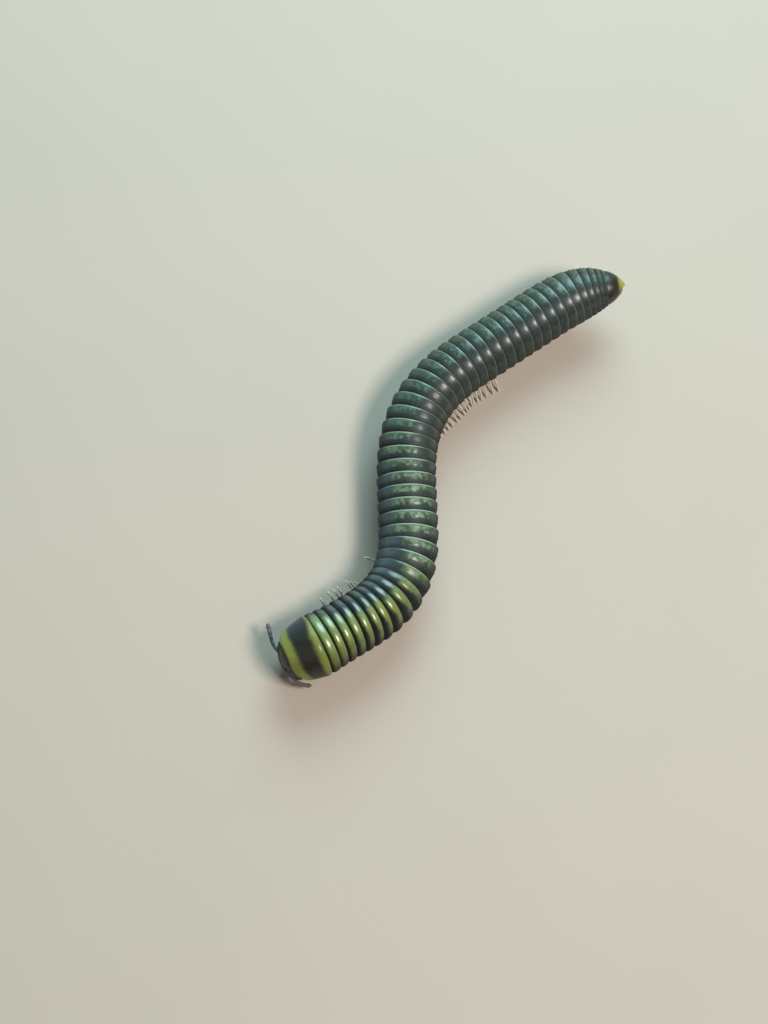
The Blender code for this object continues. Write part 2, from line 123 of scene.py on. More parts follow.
@dataclass
class Axis:
    """The line that the body follows, laid in the floor's plane and raised to its height."""

    start: Pair = (-14.3, -16.975)
    first_heading: float = 24.5
    bends: tuple[Point, ...] = ((0.0, 6.0, 7.5), (6.5, 11.0, 60.0), (20.0, 15.0, -56.0), (42.1, 7.5, -30.0))
    length: float = 50.15
    height: float = 3.4
    head_droop: float = 0.55
    droop_length: float = 8.0
    tail_rise: float = 1.15
    rise_start: float = 43.5
    step: float = 0.05

    def __post_init__(self) -> None:
        """Lays the axis once as close points."""
        self.stations = np.arange(-1.0, self.length + 1.0, self.step)
        middles = np.array([self.heading(s - self.step / 2.0) for s in self.stations[1:]])
        xs = np.concatenate([[0.0], np.cumsum(self.step * np.cos(middles))])
        ys = np.concatenate([[0.0], np.cumsum(self.step * np.sin(middles))])
        self.xs = xs + self.start[0] - np.interp(0.0, self.stations, xs)
        self.ys = ys + self.start[1] - np.interp(0.0, self.stations, ys)

    def heading(self, station: float) -> float:
        """The direction of the axis in plan, towards the tail, in radians."""
        turned = sum(turn * smooth((station - start) / length) for start, length, turn in self.bends)
        return math.radians(self.first_heading + turned)

    def rise(self, station: float) -> float:
        """The height of the axis, lower at the head and higher at the tip of the tail."""
        droop = self.head_droop * (1.0 - smooth(station / self.droop_length))
        lift = self.tail_rise * smooth((station - self.rise_start) / (self.length - self.rise_start))
        return self.height - droop + lift

    def at(self, station: float) -> Place:
        """The place on the axis at a station.

        Args:
            station: distance along the axis in millimetres.

        Returns:
            The point there and its directions.
        """
        x = float(np.interp(station, self.stations, self.xs))
        y = float(np.interp(station, self.stations, self.ys))
        turned = self.heading(station)
        slope = (self.rise(station + self.step) - self.rise(station - self.step)) / (2.0 * self.step)
        aft = Vector((math.cos(turned), math.sin(turned), slope)).normalized()
        left = Vector((math.sin(turned), -math.cos(turned), 0.0))
        return Place(Vector((x, y, self.rise(station))), aft, left, left.cross(aft).normalized())


@dataclass
class BodyPlan:
    """Where each ring of the body starts and ends, and how thick the body is."""

    axis: Axis = field(default_factory=Axis)
    radius: float = 2.52
    neck_flare: float = 0.075
    neck_fade: float = 1.3
    taper_start: float = 38.0
    taper_end: float = 50.0
    taper_power: float = 6.0
    taper_round: float = 0.9
    belly: float = 0.93
    collum_rear: float = 3.4
    ring_runs: tuple[tuple[int, float], ...] = (
        (1, 0.93), (3, 0.82), (3, 0.79), (1, 0.9), (1, 0.97), (1, 1.02), (1, 1.08), (4, 1.19), (10, 1.107),
        (8, 1.047), (6, 0.986), (2, 1.1),
    )
    last_rings: int = 5
    last_pitch: float = 0.9
    last_shrink: float = 0.77
    # The front rings aren't quite square to the axis: station, turn to the left and lean back in degrees.
    neck: tuple[Point, ...] = (
        (3.4, 0.0, 0.0), (5.0, -1.5, 6.0), (9.0, -1.5, 6.0), (13.0, -1.0, 4.0), (17.0, 0.0, 0.0),
    )

    def __post_init__(self) -> None:
        """Works out the station of the rear rim of each ring, the collum's first."""
        self.rears = [self.collum_rear]
        for count, pitch in self.ring_runs:
            for _ in range(count):
                self.rears.append(self.rears[-1] + pitch)
        for index in range(self.last_rings):
            self.rears.append(self.rears[-1] + self.last_pitch * self.last_shrink**index)

    @property
    def last_ring(self) -> int:
        """The number of the last ring before the telson."""
        return len(self.rears)

    def thickness(self, station: float) -> float:
        """The half width of the body at a station."""
        flare = 1.0 + self.neck_flare * math.exp(-max(station - self.collum_rear, 0.0) / self.neck_fade)
        along = min(max((station - self.taper_start) / (self.taper_end - self.taper_start), 0.0), 1.0)
        return self.radius * flare * (1.0 - along**self.taper_power) ** self.taper_round

    def turn(self, station: float) -> Pair:
        """How far a ring is turned about its upright and how far it leans back, in radians."""
        turn, lean = looked_up(self.neck, station)
        return math.radians(turn), math.radians(lean)

    def hang(self, rise: float) -> float:
        """A height over the axis, made smaller where it lies below it."""
        return rise * (self.belly if rise < 0.0 else 1.0)

    def span(self, ring: int) -> Pair:
        """The stations of a ring's front and rear."""
        return self.rears[ring - 2], self.rears[ring - 1]


class ShaderPad:
    """Adds shader nodes to a tree and joins them."""

    def __init__(self, tree: bpy.types.NodeTree) -> None:
        """Args: tree: the node tree to write in."""
        self.tree = tree

    def feed(self, socket: Socket, value: object) -> None:
        """Joins a socket to another, or sets its value."""
        if isinstance(value, Socket):
            self.tree.links.new(value, socket)
        elif isinstance(value, tuple) and len(value) == 3 and socket.type == "RGBA":
            socket.default_value = (*value, 1.0)
        else:
            socket.default_value = value

    def node(self, kind: str, inputs: dict | None = None, **settings: object) -> bpy.types.Node:
        """Adds a node.

        Args:
            kind: the node's type.
            inputs: values or sockets for its inputs, by name or place.
            settings: the node's own properties.

        Returns:
            The new node.
        """
        made = self.tree.nodes.new(kind)
        for name, value in settings.items():
            setattr(made, name, value)
        for key, value in (inputs or {}).items():
            self.feed(made.inputs[key], value)
        return made

    def math(self, operation: str, first: object, second: object = 0.0, third: object = 0.0) -> Socket:
        """A sum or other operation on numbers."""
        return self.node("ShaderNodeMath", {0: first, 1: second, 2: third}, operation=operation).outputs[0]

    def times(self, first: object, second: object) -> Socket:
        """A product."""
        return self.math("MULTIPLY", first, second)

    def scaled(self, first: object, second: object, third: object) -> Socket:
        """A product with a third number added."""
        return self.math("MULTIPLY_ADD", first, second, third)

    def plus(self, first: object, second: object) -> Socket:
        """A sum."""
        return self.math("ADD", first, second)

    def less(self, first: object, second: object) -> Socket:
        """The first less the second."""
        return self.math("SUBTRACT", first, second)

    def most(self, first: object, second: object) -> Socket:
        """The larger of two."""
        return self.math("MAXIMUM", first, second)

    def along(self, direction: object, amount: object) -> Socket:
        """A direction made this long."""
        inputs = {0: direction, "Scale": amount}
        return self.node("ShaderNodeVectorMath", inputs, operation="SCALE").outputs[0]

    def rise(self, value: object, low: float, high: float) -> Socket:
        """0 below low, 1 above high and smooth between them; it falls where low is above high."""
        inputs = {"Value": value, "From Min": low, "From Max": high}
        return self.node("ShaderNodeMapRange", inputs, interpolation_type="SMOOTHSTEP").outputs[0]

    def band(self, value: object, rise: Pair, fall: Pair) -> Socket:
        """1 between a rise and a fall, each given as where it starts and ends."""
        return self.math("MULTIPLY", self.rise(value, *rise), self.rise(value, fall[1], fall[0]))

    def mix(self, part: object, first: object, second: object, blend: str = "MIX") -> Socket:
        """A colour between two others."""
        made = self.node("ShaderNodeMix", data_type="RGBA", blend_type=blend)
        self.feed(made.inputs[0], part)
        self.feed(made.inputs[6], first)
        self.feed(made.inputs[7], second)
        return made.outputs[2]

    def blend(self, part: object, first: object, second: object) -> Socket:
        """A number between two others."""
        made = self.node("ShaderNodeMix", data_type="FLOAT")
        self.feed(made.inputs[0], part)
        self.feed(made.inputs[2], first)
        self.feed(made.inputs[3], second)
        return made.outputs[0]

    def noise(self, vector: object, scale: object, detail: float = 2.0) -> Socket:
        """Smooth noise from 0 to 1."""
        inputs = {"Vector": vector, "Scale": scale, "Detail": detail}
        return self.node("ShaderNodeTexNoise", inputs).outputs[0]

    def cloud(self, scale: object, detail: float = 2.0) -> Socket:
        """Smooth noise over the object's own space."""
        return self.noise(self.object_place(), scale, detail)

    def attribute(self, name: str) -> Socket:
        """A number kept on the mesh."""
        return self.node("ShaderNodeAttribute", attribute_name=name).outputs["Fac"]

    def object_place(self) -> Socket:
        """The place in the object's own space, in metres."""
        return self.node("ShaderNodeTexCoord").outputs["Object"]


class GroupKit:
    """The shader groups that several finishes share, each built once."""

    def __init__(self) -> None:
        """Builds the groups."""
        self.grain = self._grain()
        self.lines = self._lines()
        self.cells = self._cells()

    @staticmethod
    def _start(
        name: str, inputs: Sequence[tuple[str, float]], outputs: Sequence[str]
    ) -> tuple[ShaderPad, bpy.types.Node, bpy.types.Node]:
        """A new group with number inputs and outputs."""
        tree = bpy.data.node_groups.new(name, "ShaderNodeTree")
        for label, value in inputs:
            made = tree.interface.new_socket(label, in_out="INPUT", socket_type="NodeSocketFloat")
            made.default_value = value
        for label in outputs:
            tree.interface.new_socket(label, in_out="OUTPUT", socket_type="NodeSocketFloat")
        return ShaderPad(tree), tree.nodes.new("NodeGroupInput"), tree.nodes.new("NodeGroupOutput")

    def _grain(self) -> bpy.types.NodeTree:
        """Cloudy tone and fine pits over a hard shell."""
        sizes = (("Cloud Size", 900.0), ("Pit Size", 9000.0))
        pad, given, out = self._start("shell_grain", sizes, ("Tone", "Pits"))
        place = pad.object_place()
        cloud = pad.noise(place, given.outputs[0], 4.0)
        pits = pad.noise(place, given.outputs[1])
        pad.feed(out.inputs[0], pad.rise(cloud, 0.25, 0.75))
        pad.feed(out.inputs[1], pits)
        return pad.tree

    def _lines(self) -> bpy.types.NodeTree:
        """Fine lines side by side, a little wavy and broken."""
        inputs = (("Along", 0.0), ("Count", 9.0), ("Wave", 0.35))
        pad, given, out = self._start("fine_lines", inputs, ("Height",))
        wobble = pad.cloud(700.0, 3.0)
        shifted = pad.scaled(wobble, given.outputs[2], given.outputs[0])
        turns = pad.times(pad.times(shifted, given.outputs[1]), 2.0 * math.pi)
        wave = pad.scaled(pad.math("SINE", turns), 0.5, 0.5)
        broken = pad.rise(pad.cloud(2600.0), 0.2, 0.6)
        pad.feed(out.inputs[0], pad.times(wave, broken))
        return pad.tree

    def _cells(self) -> bpy.types.NodeTree:
        """A pale line along the rim and a band of soft blots in front of it that thins out forwards."""
        inputs = (("Around", 0.0), ("Ring", 0.0), ("Across", 0.0), ("Count", 42.0))
        pad, given, out = self._start("square_blots", inputs, ("Green",))
        around, ring, across, count = given.outputs[:4]
        number = pad.times(pad.math("ROUND", ring), 17.37)
        sway = pad.scaled(pad.cloud(1500.0), 0.3, number)
        turned = pad.scaled(around, count, sway)
        ragged = pad.scaled(pad.cloud(3000.0), 0.2, -0.1)
        place = pad.plus(across, ragged)
        corners = {0: turned, 1: pad.times(across, 1.7), 2: number}
        spot = pad.node("ShaderNodeCombineXYZ", corners).outputs[0]
        thinned = pad.less(pad.noise(spot, 1.0, 0.0), pad.times(pad.rise(place, 0.9, 0.05), 0.17))
        green = pad.times(pad.rise(thinned, 0.2, 0.58), pad.band(place, (-0.2, 0.2), (0.8, 1.0)))
        green = pad.most(green, pad.times(pad.rise(place, 0.05, 0.5), 0.38))
        pad.feed(out.inputs[0], pad.most(green, pad.rise(place, 0.82, 0.98)))
        return pad.tree


class Material:
    """A material in the making: its pad, its shader and the shared groups."""

    def __init__(self, name: str, kit: GroupKit) -> None:
        """Args: name: the material's name. kit: the shared groups."""
        self.data = bpy.data.materials.new(name)
        self.data.use_nodes = True
        self.pad = ShaderPad(self.data.node_tree)
        self.shader = self.data.node_tree.nodes["Principled BSDF"]
        self.kit = kit

    def group(self, tree: bpy.types.NodeTree, **inputs: object) -> bpy.types.Node:
        """Places a shared group, its inputs named with underscores for spaces."""
        made = self.pad.node("ShaderNodeGroup")
        made.node_tree = tree
        for key, value in inputs.items():
            self.pad.feed(made.inputs[key.replace("_", " ")], value)
        return made

    def set(self, **inputs: object) -> None:
        """Feeds the shader's inputs, named with underscores for spaces."""
        for key, value in inputs.items():
            self.pad.feed(self.shader.inputs[key.replace("_", " ")], value)

    def bump(self, height: object, depth: float) -> None:
        """Makes relief of this depth in millimetres from a height that runs from 0 to 1."""
        inputs = {"Height": height, "Distance": depth * MM, "Strength": 1.0}
        self.set(Normal=self.pad.node("ShaderNodeBump", inputs).outputs[0])


@dataclass(frozen=True)
class RingFinish:
    """Glossy ring plates: a pale thin rim, a mottled band and a dark slate front half, with painted shade and
    painted sky light in their colour.
    """

    front_band: Colour = (0.2, 0.235, 0.048)
    front_shade: Colour = (0.11, 0.14, 0.04)
    # The olive band's colour on the right, greener: a painted tint of the window's cyan light.
    front_right_band: Colour = (0.2, 0.27, 0.11)
    middle_band: Colour = (0.19, 0.28, 0.165)
    rear_band: Colour = (0.1, 0.165, 0.125)
    # The front rings' dark ground: partly their own dark colour, partly painted shade in the grooves between
    # the rolls.
    front_groove: Colour = (0.014, 0.016, 0.012)
    slate: Colour = (0.028, 0.036, 0.036)
    rear_slate: Colour = (0.016, 0.025, 0.028)
    blot: Colour = (0.028, 0.046, 0.03)
    olive_flank: Colour = (0.04, 0.038, 0.02)
    flank: Colour = (0.066, 0.08, 0.07)
    rear_flank: Colour = (0.026, 0.032, 0.03)
    # Painted shade laid over the flanks.
    flank_shade: Colour = (0.008, 0.009, 0.008)
    # The right side's colours; their blue is a painted reflection of sky.
    right_flank: Colour = (0.07, 0.135, 0.175)
    front_right_flank: Colour = (0.036, 0.085, 0.12)
    rear_right_flank: Colour = (0.075, 0.088, 0.042)
    right_slate: Colour = (0.022, 0.04, 0.05)
    belly: Colour = (0.11, 0.075, 0.045)
    rim: Colour = (0.3, 0.4, 0.3)
    rear_rim: Colour = (0.16, 0.21, 0.17)
    flank_rim: Colour = (0.12, 0.13, 0.11)
    # Near-black: painted shade, on the inner walls of each hoop and at the sunk front of each ring.
    inside: Colour = (0.005, 0.005, 0.004)
    # Between which rings the front, rear, darker and tail colours come in.
    front_rings: Pair = (13.5, 9.0)
    rear_rings: Pair = (23.0, 29.0)
    dark_rings: Pair = (18.0, 26.0)
    tail_rings: Pair = (41.0, 44.0)
    relief: float = 0.007

    def make(self, kit: GroupKit) -> Finish:
        """Builds the material."""
        made = Material("ring_shell", kit)
        pad = made.pad
        ring = pad.attribute("ring")
        part = pad.attribute("part")
        down = pad.attribute("down")
        around = pad.node("ShaderNodeSeparateXYZ", {0: pad.node("ShaderNodeUVMap").outputs[0]}).outputs[0]
        turned = pad.less(0.5, around)
        grain = made.group(kit.grain, Cloud_Size=1500.0)
        tone = grain.outputs["Tone"]
        front = pad.rise(ring, *self.front_rings)
        rear = pad.rise(ring, *self.rear_rings)
        tail = pad.rise(ring, *self.tail_rings)
        # How far a point lies from the middle of the coloured saddle, as a part of the saddle's half width.
        # Outside it the band gives way to the flank colours, which paint the reflection and shade that hid
        # it.
        apart = pad.math("ABSOLUTE", pad.less(turned, pad.attribute("tone")))
        wave = pad.scaled(pad.cloud(1700.0, 3.0), 0.5, -0.25)
        spread = pad.plus(pad.math("DIVIDE", apart, pad.attribute("wide")), wave)
        reach = pad.rise(spread, 1.25, 0.75)
        hoops = made.group(kit.lines, Along=part, Count=8.0, Wave=0.12).outputs["Height"]
        ribs = made.group(kit.lines, Along=around, Count=150.0, Wave=0.006).outputs["Height"]
        low = pad.rise(down, 0.16, 0.3)
        behind = pad.rise(part, 0.25, 0.6)
        slate = pad.mix(rear, self.slate, self.rear_slate)
        # On the front rings the ground turns to front_groove: partly their own colour, partly painted groove
        # shade.
        slate = pad.mix(front, slate, self.front_groove)
        # The flanks are bluer on the animal's right, a painted reflection of sky, and browner on its left.
        left_flank = pad.mix(front, pad.mix(rear, self.flank, self.rear_flank), self.olive_flank)
        left_side = pad.mix(pad.times(low, behind), slate, left_flank)
        right_flank = pad.mix(front, self.right_flank, self.front_right_flank)
        right_side = pad.mix(behind, self.right_slate, pad.mix(rear, right_flank, self.rear_right_flank))
        plate = pad.mix(pad.rise(turned, -0.16, -0.02), right_side, left_side)
        plate = pad.mix(pad.times(tone, 0.35), plate, self.blot)
        lines = pad.most(pad.times(pad.times(ribs, low), 0.45), pad.times(hoops, 0.16))
        plate = pad.mix(lines, plate, self.flank_rim)
        band = pad.mix(pad.rise(ring, *self.dark_rings), self.middle_band, self.rear_band)
        band = pad.mix(pad.times(tone, 0.4), band, self.blot)
        place = pad.math("DIVIDE", pad.less(part, 0.42), 0.5)
        squares = made.group(kit.cells, Around=around, Ring=ring, Across=place).outputs["Green"]
        shown = pad.times(squares, pad.times(reach, pad.blend(tail, 1.0, 0.4)))
        middle = pad.mix(shown, plate, band)
        dark = pad.times(pad.less(1.0, squares), pad.times(pad.rise(place, 0.1, 0.5), reach))
        middle = pad.mix(pad.times(dark, 0.45), middle, self.blot)
        # Painted sheen: the olive band turns greener towards the animal's right.
        olive = pad.mix(pad.rise(turned, 0.05, -0.05), self.front_band, self.front_right_band)
        olive = pad.mix(pad.times(tone, 0.4), olive, self.front_shade)
        soft = pad.scaled(pad.cloud(3200.0), 0.24, pad.less(part, 0.12))
        lag = pad.most(pad.rise(turned, 0.03, 0.13), pad.rise(turned, 0.0, -0.1))
        lag = pad.times(pad.times(lag, pad.rise(ring, 3.0, 8.0)), 0.3)
        soft = pad.less(soft, lag)
        rolled = pad.mix(pad.times(pad.rise(soft, 0.08, 0.42), reach), plate, olive)
        colour = pad.mix(front, middle, rolled)
        edge = pad.times(pad.band(part, (0.9, 0.95), (1.0, 1.04)), pad.blend(tail, 0.85, 0.4))
        rim = pad.mix(pad.rise(spread, 0.9, 1.7), pad.mix(rear, self.rim, self.rear_rim), self.flank_rim)
        colour = pad.mix(pad.times(edge, pad.blend(front, 1.0, 0.4)), colour, rim)
        # Painted shade: the front of each ring, tucked under the ring before it, is darkened towards the
        # near-black inside colour.
        sunk = pad.times(pad.rise(part, 0.3, 0.02), 0.75)
        colour = pad.mix(sunk, colour, self.inside)
        # Painted shade: both flanks are darkened towards the flank shade colour, the right one less behind
        # the front rings, and both only a little on the rear rings.
        painted_right_shade_mask = pad.times(pad.rise(turned, -0.11, -0.22), pad.blend(front, 0.4, 1.0))
        painted_shade_mask = pad.most(pad.rise(turned, 0.06, 0.21), painted_right_shade_mask)
        colour = pad.mix(pad.times(painted_shade_mask, pad.blend(rear, 0.8, 0.12)), colour, self.flank_shade)
        colour = pad.mix(pad.rise(down, 0.78, 0.95), colour, self.belly)
        colour = pad.mix(pad.attribute("inside"), colour, self.inside)
        # The hidden front part of a ring is matt and its raised rear part glossy.
        gloss = pad.rise(part, 0.3, 0.5)
        flank = pad.rise(pad.math("ABSOLUTE", turned), 0.13, 0.21)
        made.set(Base_Color=colour, Roughness=pad.blend(flank, pad.blend(gloss, 0.55, 0.42), 0.75), IOR=1.5)
        made.set(Specular_IOR_Level=0.25)
        coat = pad.blend(front, pad.blend(rear, pad.blend(squares, 0.08, 0.28), 0.32), 0.75)
        coat = pad.times(pad.times(gloss, coat), pad.blend(flank, 1.0, 0.15))
        coat = pad.times(coat, pad.blend(rear, 1.0, pad.rise(part, 0.5, 0.85)))
        coat = pad.times(coat, pad.blend(tail, 1.0, 0.7))
        made.set(Coat_Weight=coat, Coat_Roughness=0.24, Coat_IOR=1.8)
        height = pad.times(hoops, pad.times(pad.rise(part, 0.6, 0.4), 0.8))
        height = pad.scaled(ribs, pad.times(low, 1.4), height)
        height = pad.scaled(pad.cloud(2600.0), pad.blend(front, 1.6, 0.7), height)
        height = pad.scaled(grain.outputs["Pits"], 0.4, height)
        made.bump(height, self.relief)
        return made.data


@dataclass(frozen=True)
class CollumFinish:
    """The smooth first shield: yellow margins round a dark middle; its right side carries painted sky light.
    """

    margin: Colour = (0.205, 0.235, 0.042)
    margin_shade: Colour = (0.13, 0.145, 0.03)
    # The right side's colours: a painted reflection of sky on the dark middle and a painted cyan tint on the
    # margin.
    right_margin: Colour = (0.2, 0.25, 0.08)
    middle: Colour = (0.012, 0.011, 0.008)
    side_middle: Colour = (0.018, 0.034, 0.046)
    between: Colour = (0.1, 0.09, 0.025)
    # Near-black: painted shade on the lining under the shield.
    inside: Colour = (0.01, 0.01, 0.008)

    def make(self, kit: GroupKit) -> Finish:
        """Builds the material."""
        made = Material("collum_shell", kit)
        pad = made.pad
        grain = made.group(kit.grain, Cloud_Size=700.0, Pit_Size=14000.0)
        tone = grain.outputs["Tone"]
        part = pad.scaled(pad.cloud(1600.0, 3.0), 0.09, pad.plus(pad.attribute("part"), 0.025))
        right = pad.rise(pad.attribute("side"), -0.15, -0.75)
        rear_edge = pad.scaled(right, 0.13, pad.less(part, 0.07))
        dark = pad.times(pad.rise(rear_edge, 0.08, 0.32), pad.rise(pad.less(part, 0.07), 0.86, 0.6))
        # Painted sky light: the margin is greener and the middle bluer on the right.
        margin = pad.mix(right, pad.mix(tone, self.margin, self.margin_shade), self.right_margin)
        colour = pad.mix(pad.rise(dark, 0.0, 0.7), margin, self.between)
        colour = pad.mix(pad.rise(dark, 0.25, 1.0), colour, pad.mix(right, self.middle, self.side_middle))
        colour = pad.mix(pad.times(pad.rise(grain.outputs["Pits"], 0.5, 0.7), 0.25), colour, self.between)
        # Painted shade: the lining turns near-black.
        colour = pad.mix(pad.attribute("inside"), colour, self.inside)
        made.set(Base_Color=colour, Roughness=pad.blend(tone, 0.45, 0.55))
        made.set(Coat_Weight=0.4, Coat_Roughness=0.24, Specular_IOR_Level=0.22)
        made.bump(grain.outputs["Pits"], 0.012)
        return made.data


@dataclass(frozen=True)
class PlainShellFinish:
    """A shell of one hue, cloudy and finely pitted, which may pale towards its edges or ends."""

    name: str
    colour: Colour
    second: Colour
    roughness: Pair = (0.28, 0.42)
    coat: float = 0.3
    specular: float = 0.5
    relief: float = 0.012
    fade: str = ""
    third: Colour = (0.0, 0.0, 0.0)
    pit_size: float = 12000.0

    def make(self, kit: GroupKit) -> Finish:
        """Builds the material."""
        made = Material(self.name, kit)
        pad = made.pad
        grain = made.group(kit.grain, Cloud_Size=1100.0, Pit_Size=self.pit_size)
        tone = grain.outputs["Tone"]
        colour = pad.mix(tone, self.colour, self.second)
        if self.fade:
            colour = pad.mix(pad.rise(pad.attribute(self.fade), 0.15, 0.9), colour, self.third)
        low, high = self.roughness
        made.set(Base_Color=colour, Roughness=pad.blend(tone, low, high), Coat_Weight=self.coat)
        made.set(Coat_Roughness=0.15, Specular_IOR_Level=self.specular)
        made.bump(grain.outputs["Pits"], self.relief)
        return made.data


@dataclass
class Blank:
    """A mesh in unit sizes that is set in many places: points, faces and numbers on its points."""

    points: list[Point]
    faces: list[tuple[int, ...]]
    numbers: dict[str, list[float]] = field(default_factory=dict)
    uvs: list[Pair] | None = None

    def build(self, name: str) -> Piece:
        """Makes an object of it that isn't linked to the scene."""
        mesh = bpy.data.meshes.new(name)
        mesh.from_pydata(self.points, [], self.faces)
        for label, values in self.numbers.items():
            mesh.attributes.new(label, "FLOAT", "POINT").data.foreach_set("value", values)
        local = mesh.attributes.new("local", "FLOAT_VECTOR", "POINT")
        local.data.foreach_set("vector", [value for point in self.points for value in point])
        if self.uvs is not None:
            layer = mesh.uv_layers.new(name="UVMap")
            layer.data.foreach_set("uv", [value for uv in self.uvs for value in uv])
        return bpy.data.objects.new(name, mesh)


@dataclass
class Seat:
    """Where one copy of a blank goes, in millimetres: x of the blank runs aft, y left and z up."""

    centre: Vector
    aft: Vector
    up: Vector
    size: Point
    taper: float = 0.0
    ring: float = 0.0
    tone: float = 0.0
    wide: float = 0.0


class Placer:
    """Sets copies of a blank on seats by Geometry Nodes, and hands back one plain mesh."""

    FIELDS = ("aft", "up", "size")
    NUMBERS = ("taper", "ring", "tone", "wide")

    def __init__(self) -> None:
        """Builds the tree once."""
        self.tree = bpy.data.node_groups.new("set_on_seats", "GeometryNodeTree")
        face = self.tree.interface
        self.sockets: dict[str, str] = {}
        face.new_socket("Geometry", in_out="OUTPUT", socket_type="NodeSocketGeometry")
        kinds = (
            ("Geometry", "NodeSocketGeometry"),
            ("Blank", "NodeSocketObject"),
            ("Finish", "NodeSocketMaterial"),
            ("Unevenness", "NodeSocketFloat"),
            ("Seed", "NodeSocketInt"),
        )
        for label, kind in kinds:
            self.sockets[label] = face.new_socket(label, in_out="INPUT", socket_type=kind).identifier
        self._fill()

    def _fill(self) -> None:
        """Writes the nodes: instance, turn, scale, realize, taper and set the material."""
        pad = ShaderPad(self.tree)
        given = self.tree.nodes.new("NodeGroupInput").outputs
        out = self.tree.nodes.new("NodeGroupOutput")

        def named(name: str, kind: str) -> Socket:
            """An attribute of the points."""
            return pad.node("GeometryNodeInputNamedAttribute", {"Name": name}, data_type=kind).outputs[0]

        aft = named("aft", "FLOAT_VECTOR")
        up = named("up", "FLOAT_VECTOR")
        size = named("size", "FLOAT_VECTOR")
        turn = pad.node("FunctionNodeAxesToRotation", {0: aft, 1: up}, primary_axis="X", secondary_axis="Z")
        chance = pad.node("FunctionNodeRandomValue", data_type="FLOAT")
        for label, value in (("Min", -1.0), ("Max", 1.0), ("Seed", given["Seed"])):
            socket = next(s for s in chance.inputs if s.name == label and s.enabled)
            pad.feed(socket, value)
        drawn = next(s for s in chance.outputs if s.enabled)
        scale = pad.scaled(drawn, given["Unevenness"], 1.0)
        sized = pad.along(size, scale)
        blank = pad.node("GeometryNodeObjectInfo", {"Object": given["Blank"]}).outputs["Geometry"]
        inputs = {"Points": given["Geometry"], "Instance": blank, "Rotation": turn.outputs[0], "Scale": sized}
        copies = pad.node("GeometryNodeInstanceOnPoints", inputs).outputs[0]
        real = pad.node("GeometryNodeRealizeInstances", {0: copies}).outputs[0]
        local = pad.node("ShaderNodeSeparateXYZ", {0: named("local", "FLOAT_VECTOR")}).outputs
        girth = pad.node("ShaderNodeSeparateXYZ", {0: size}).outputs
        left = pad.node("ShaderNodeVectorMath", {0: up, 1: aft}, operation="CROSS_PRODUCT").outputs[0]
        shrink = pad.times(local[0], pad.times(named("taper", "FLOAT"), -1.0))
        moved = []
        for direction, across, wide in ((left, local[1], girth[1]), (up, local[2], girth[2])):
            moved.append(pad.along(direction, pad.times(pad.times(across, wide), shrink)))
        offset = pad.node("ShaderNodeVectorMath", {0: moved[0], 1: moved[1]}, operation="ADD").outputs[0]
        placed = pad.node("GeometryNodeSetPosition", {"Geometry": real, "Offset": offset}).outputs[0]
        done = pad.node("GeometryNodeSetMaterial", {"Geometry": placed, "Material": given["Finish"]})
        pad.feed(out.inputs[0], done.outputs[0])

    def place(
        self,
        name: str,
        blank: Blank,
        seats: Sequence[Seat],
        finish: Finish,
        unevenness: float = 0.0,
        seed: int = 1,
    ) -> Piece:
        """Sets a blank on its seats.

        Args:
            name: the new piece's name.
            blank: the mesh in unit sizes.
            seats: where its copies go.
            finish: their material.
            unevenness: how much their sizes differ, as a part of each size.
            seed: the seed of that difference.

        Returns:
            One plain mesh object, in metres.
        """
        points = bpy.data.meshes.new(name)
        points.from_pydata([seat.centre * MM for seat in seats], [], [])
        columns = {
            "aft": [seat.aft for seat in seats],
            "up": [seat.up for seat in seats],
            "size": [Vector(seat.size) * MM for seat in seats],
        }
        for label in self.FIELDS:
            layer = points.attributes.new(label, "FLOAT_VECTOR", "POINT")
            layer.data.foreach_set("vector", [value for row in columns[label] for value in row])
        for label in self.NUMBERS:
            layer = points.attributes.new(label, "FLOAT", "POINT")
            layer.data.foreach_set("value", [getattr(seat, label) for seat in seats])
        source = blank.build(name + "_blank")
        made = bpy.data.objects.new(name, points)
        bpy.context.scene.collection.objects.link(made)
        modifier = made.modifiers.new("set", "NODES")
        modifier.node_group = self.tree
        modifier[self.sockets["Blank"]] = source
        modifier[self.sockets["Finish"]] = finish
        modifier[self.sockets["Unevenness"]] = unevenness
        modifier[self.sockets["Seed"]] = seed
        graph = bpy.context.evaluated_depsgraph_get()
        mesh = bpy.data.meshes.new_from_object(made.evaluated_get(graph))
        made.modifiers.clear()
        made.data = mesh
        bpy.data.objects.remove(source)
        return made


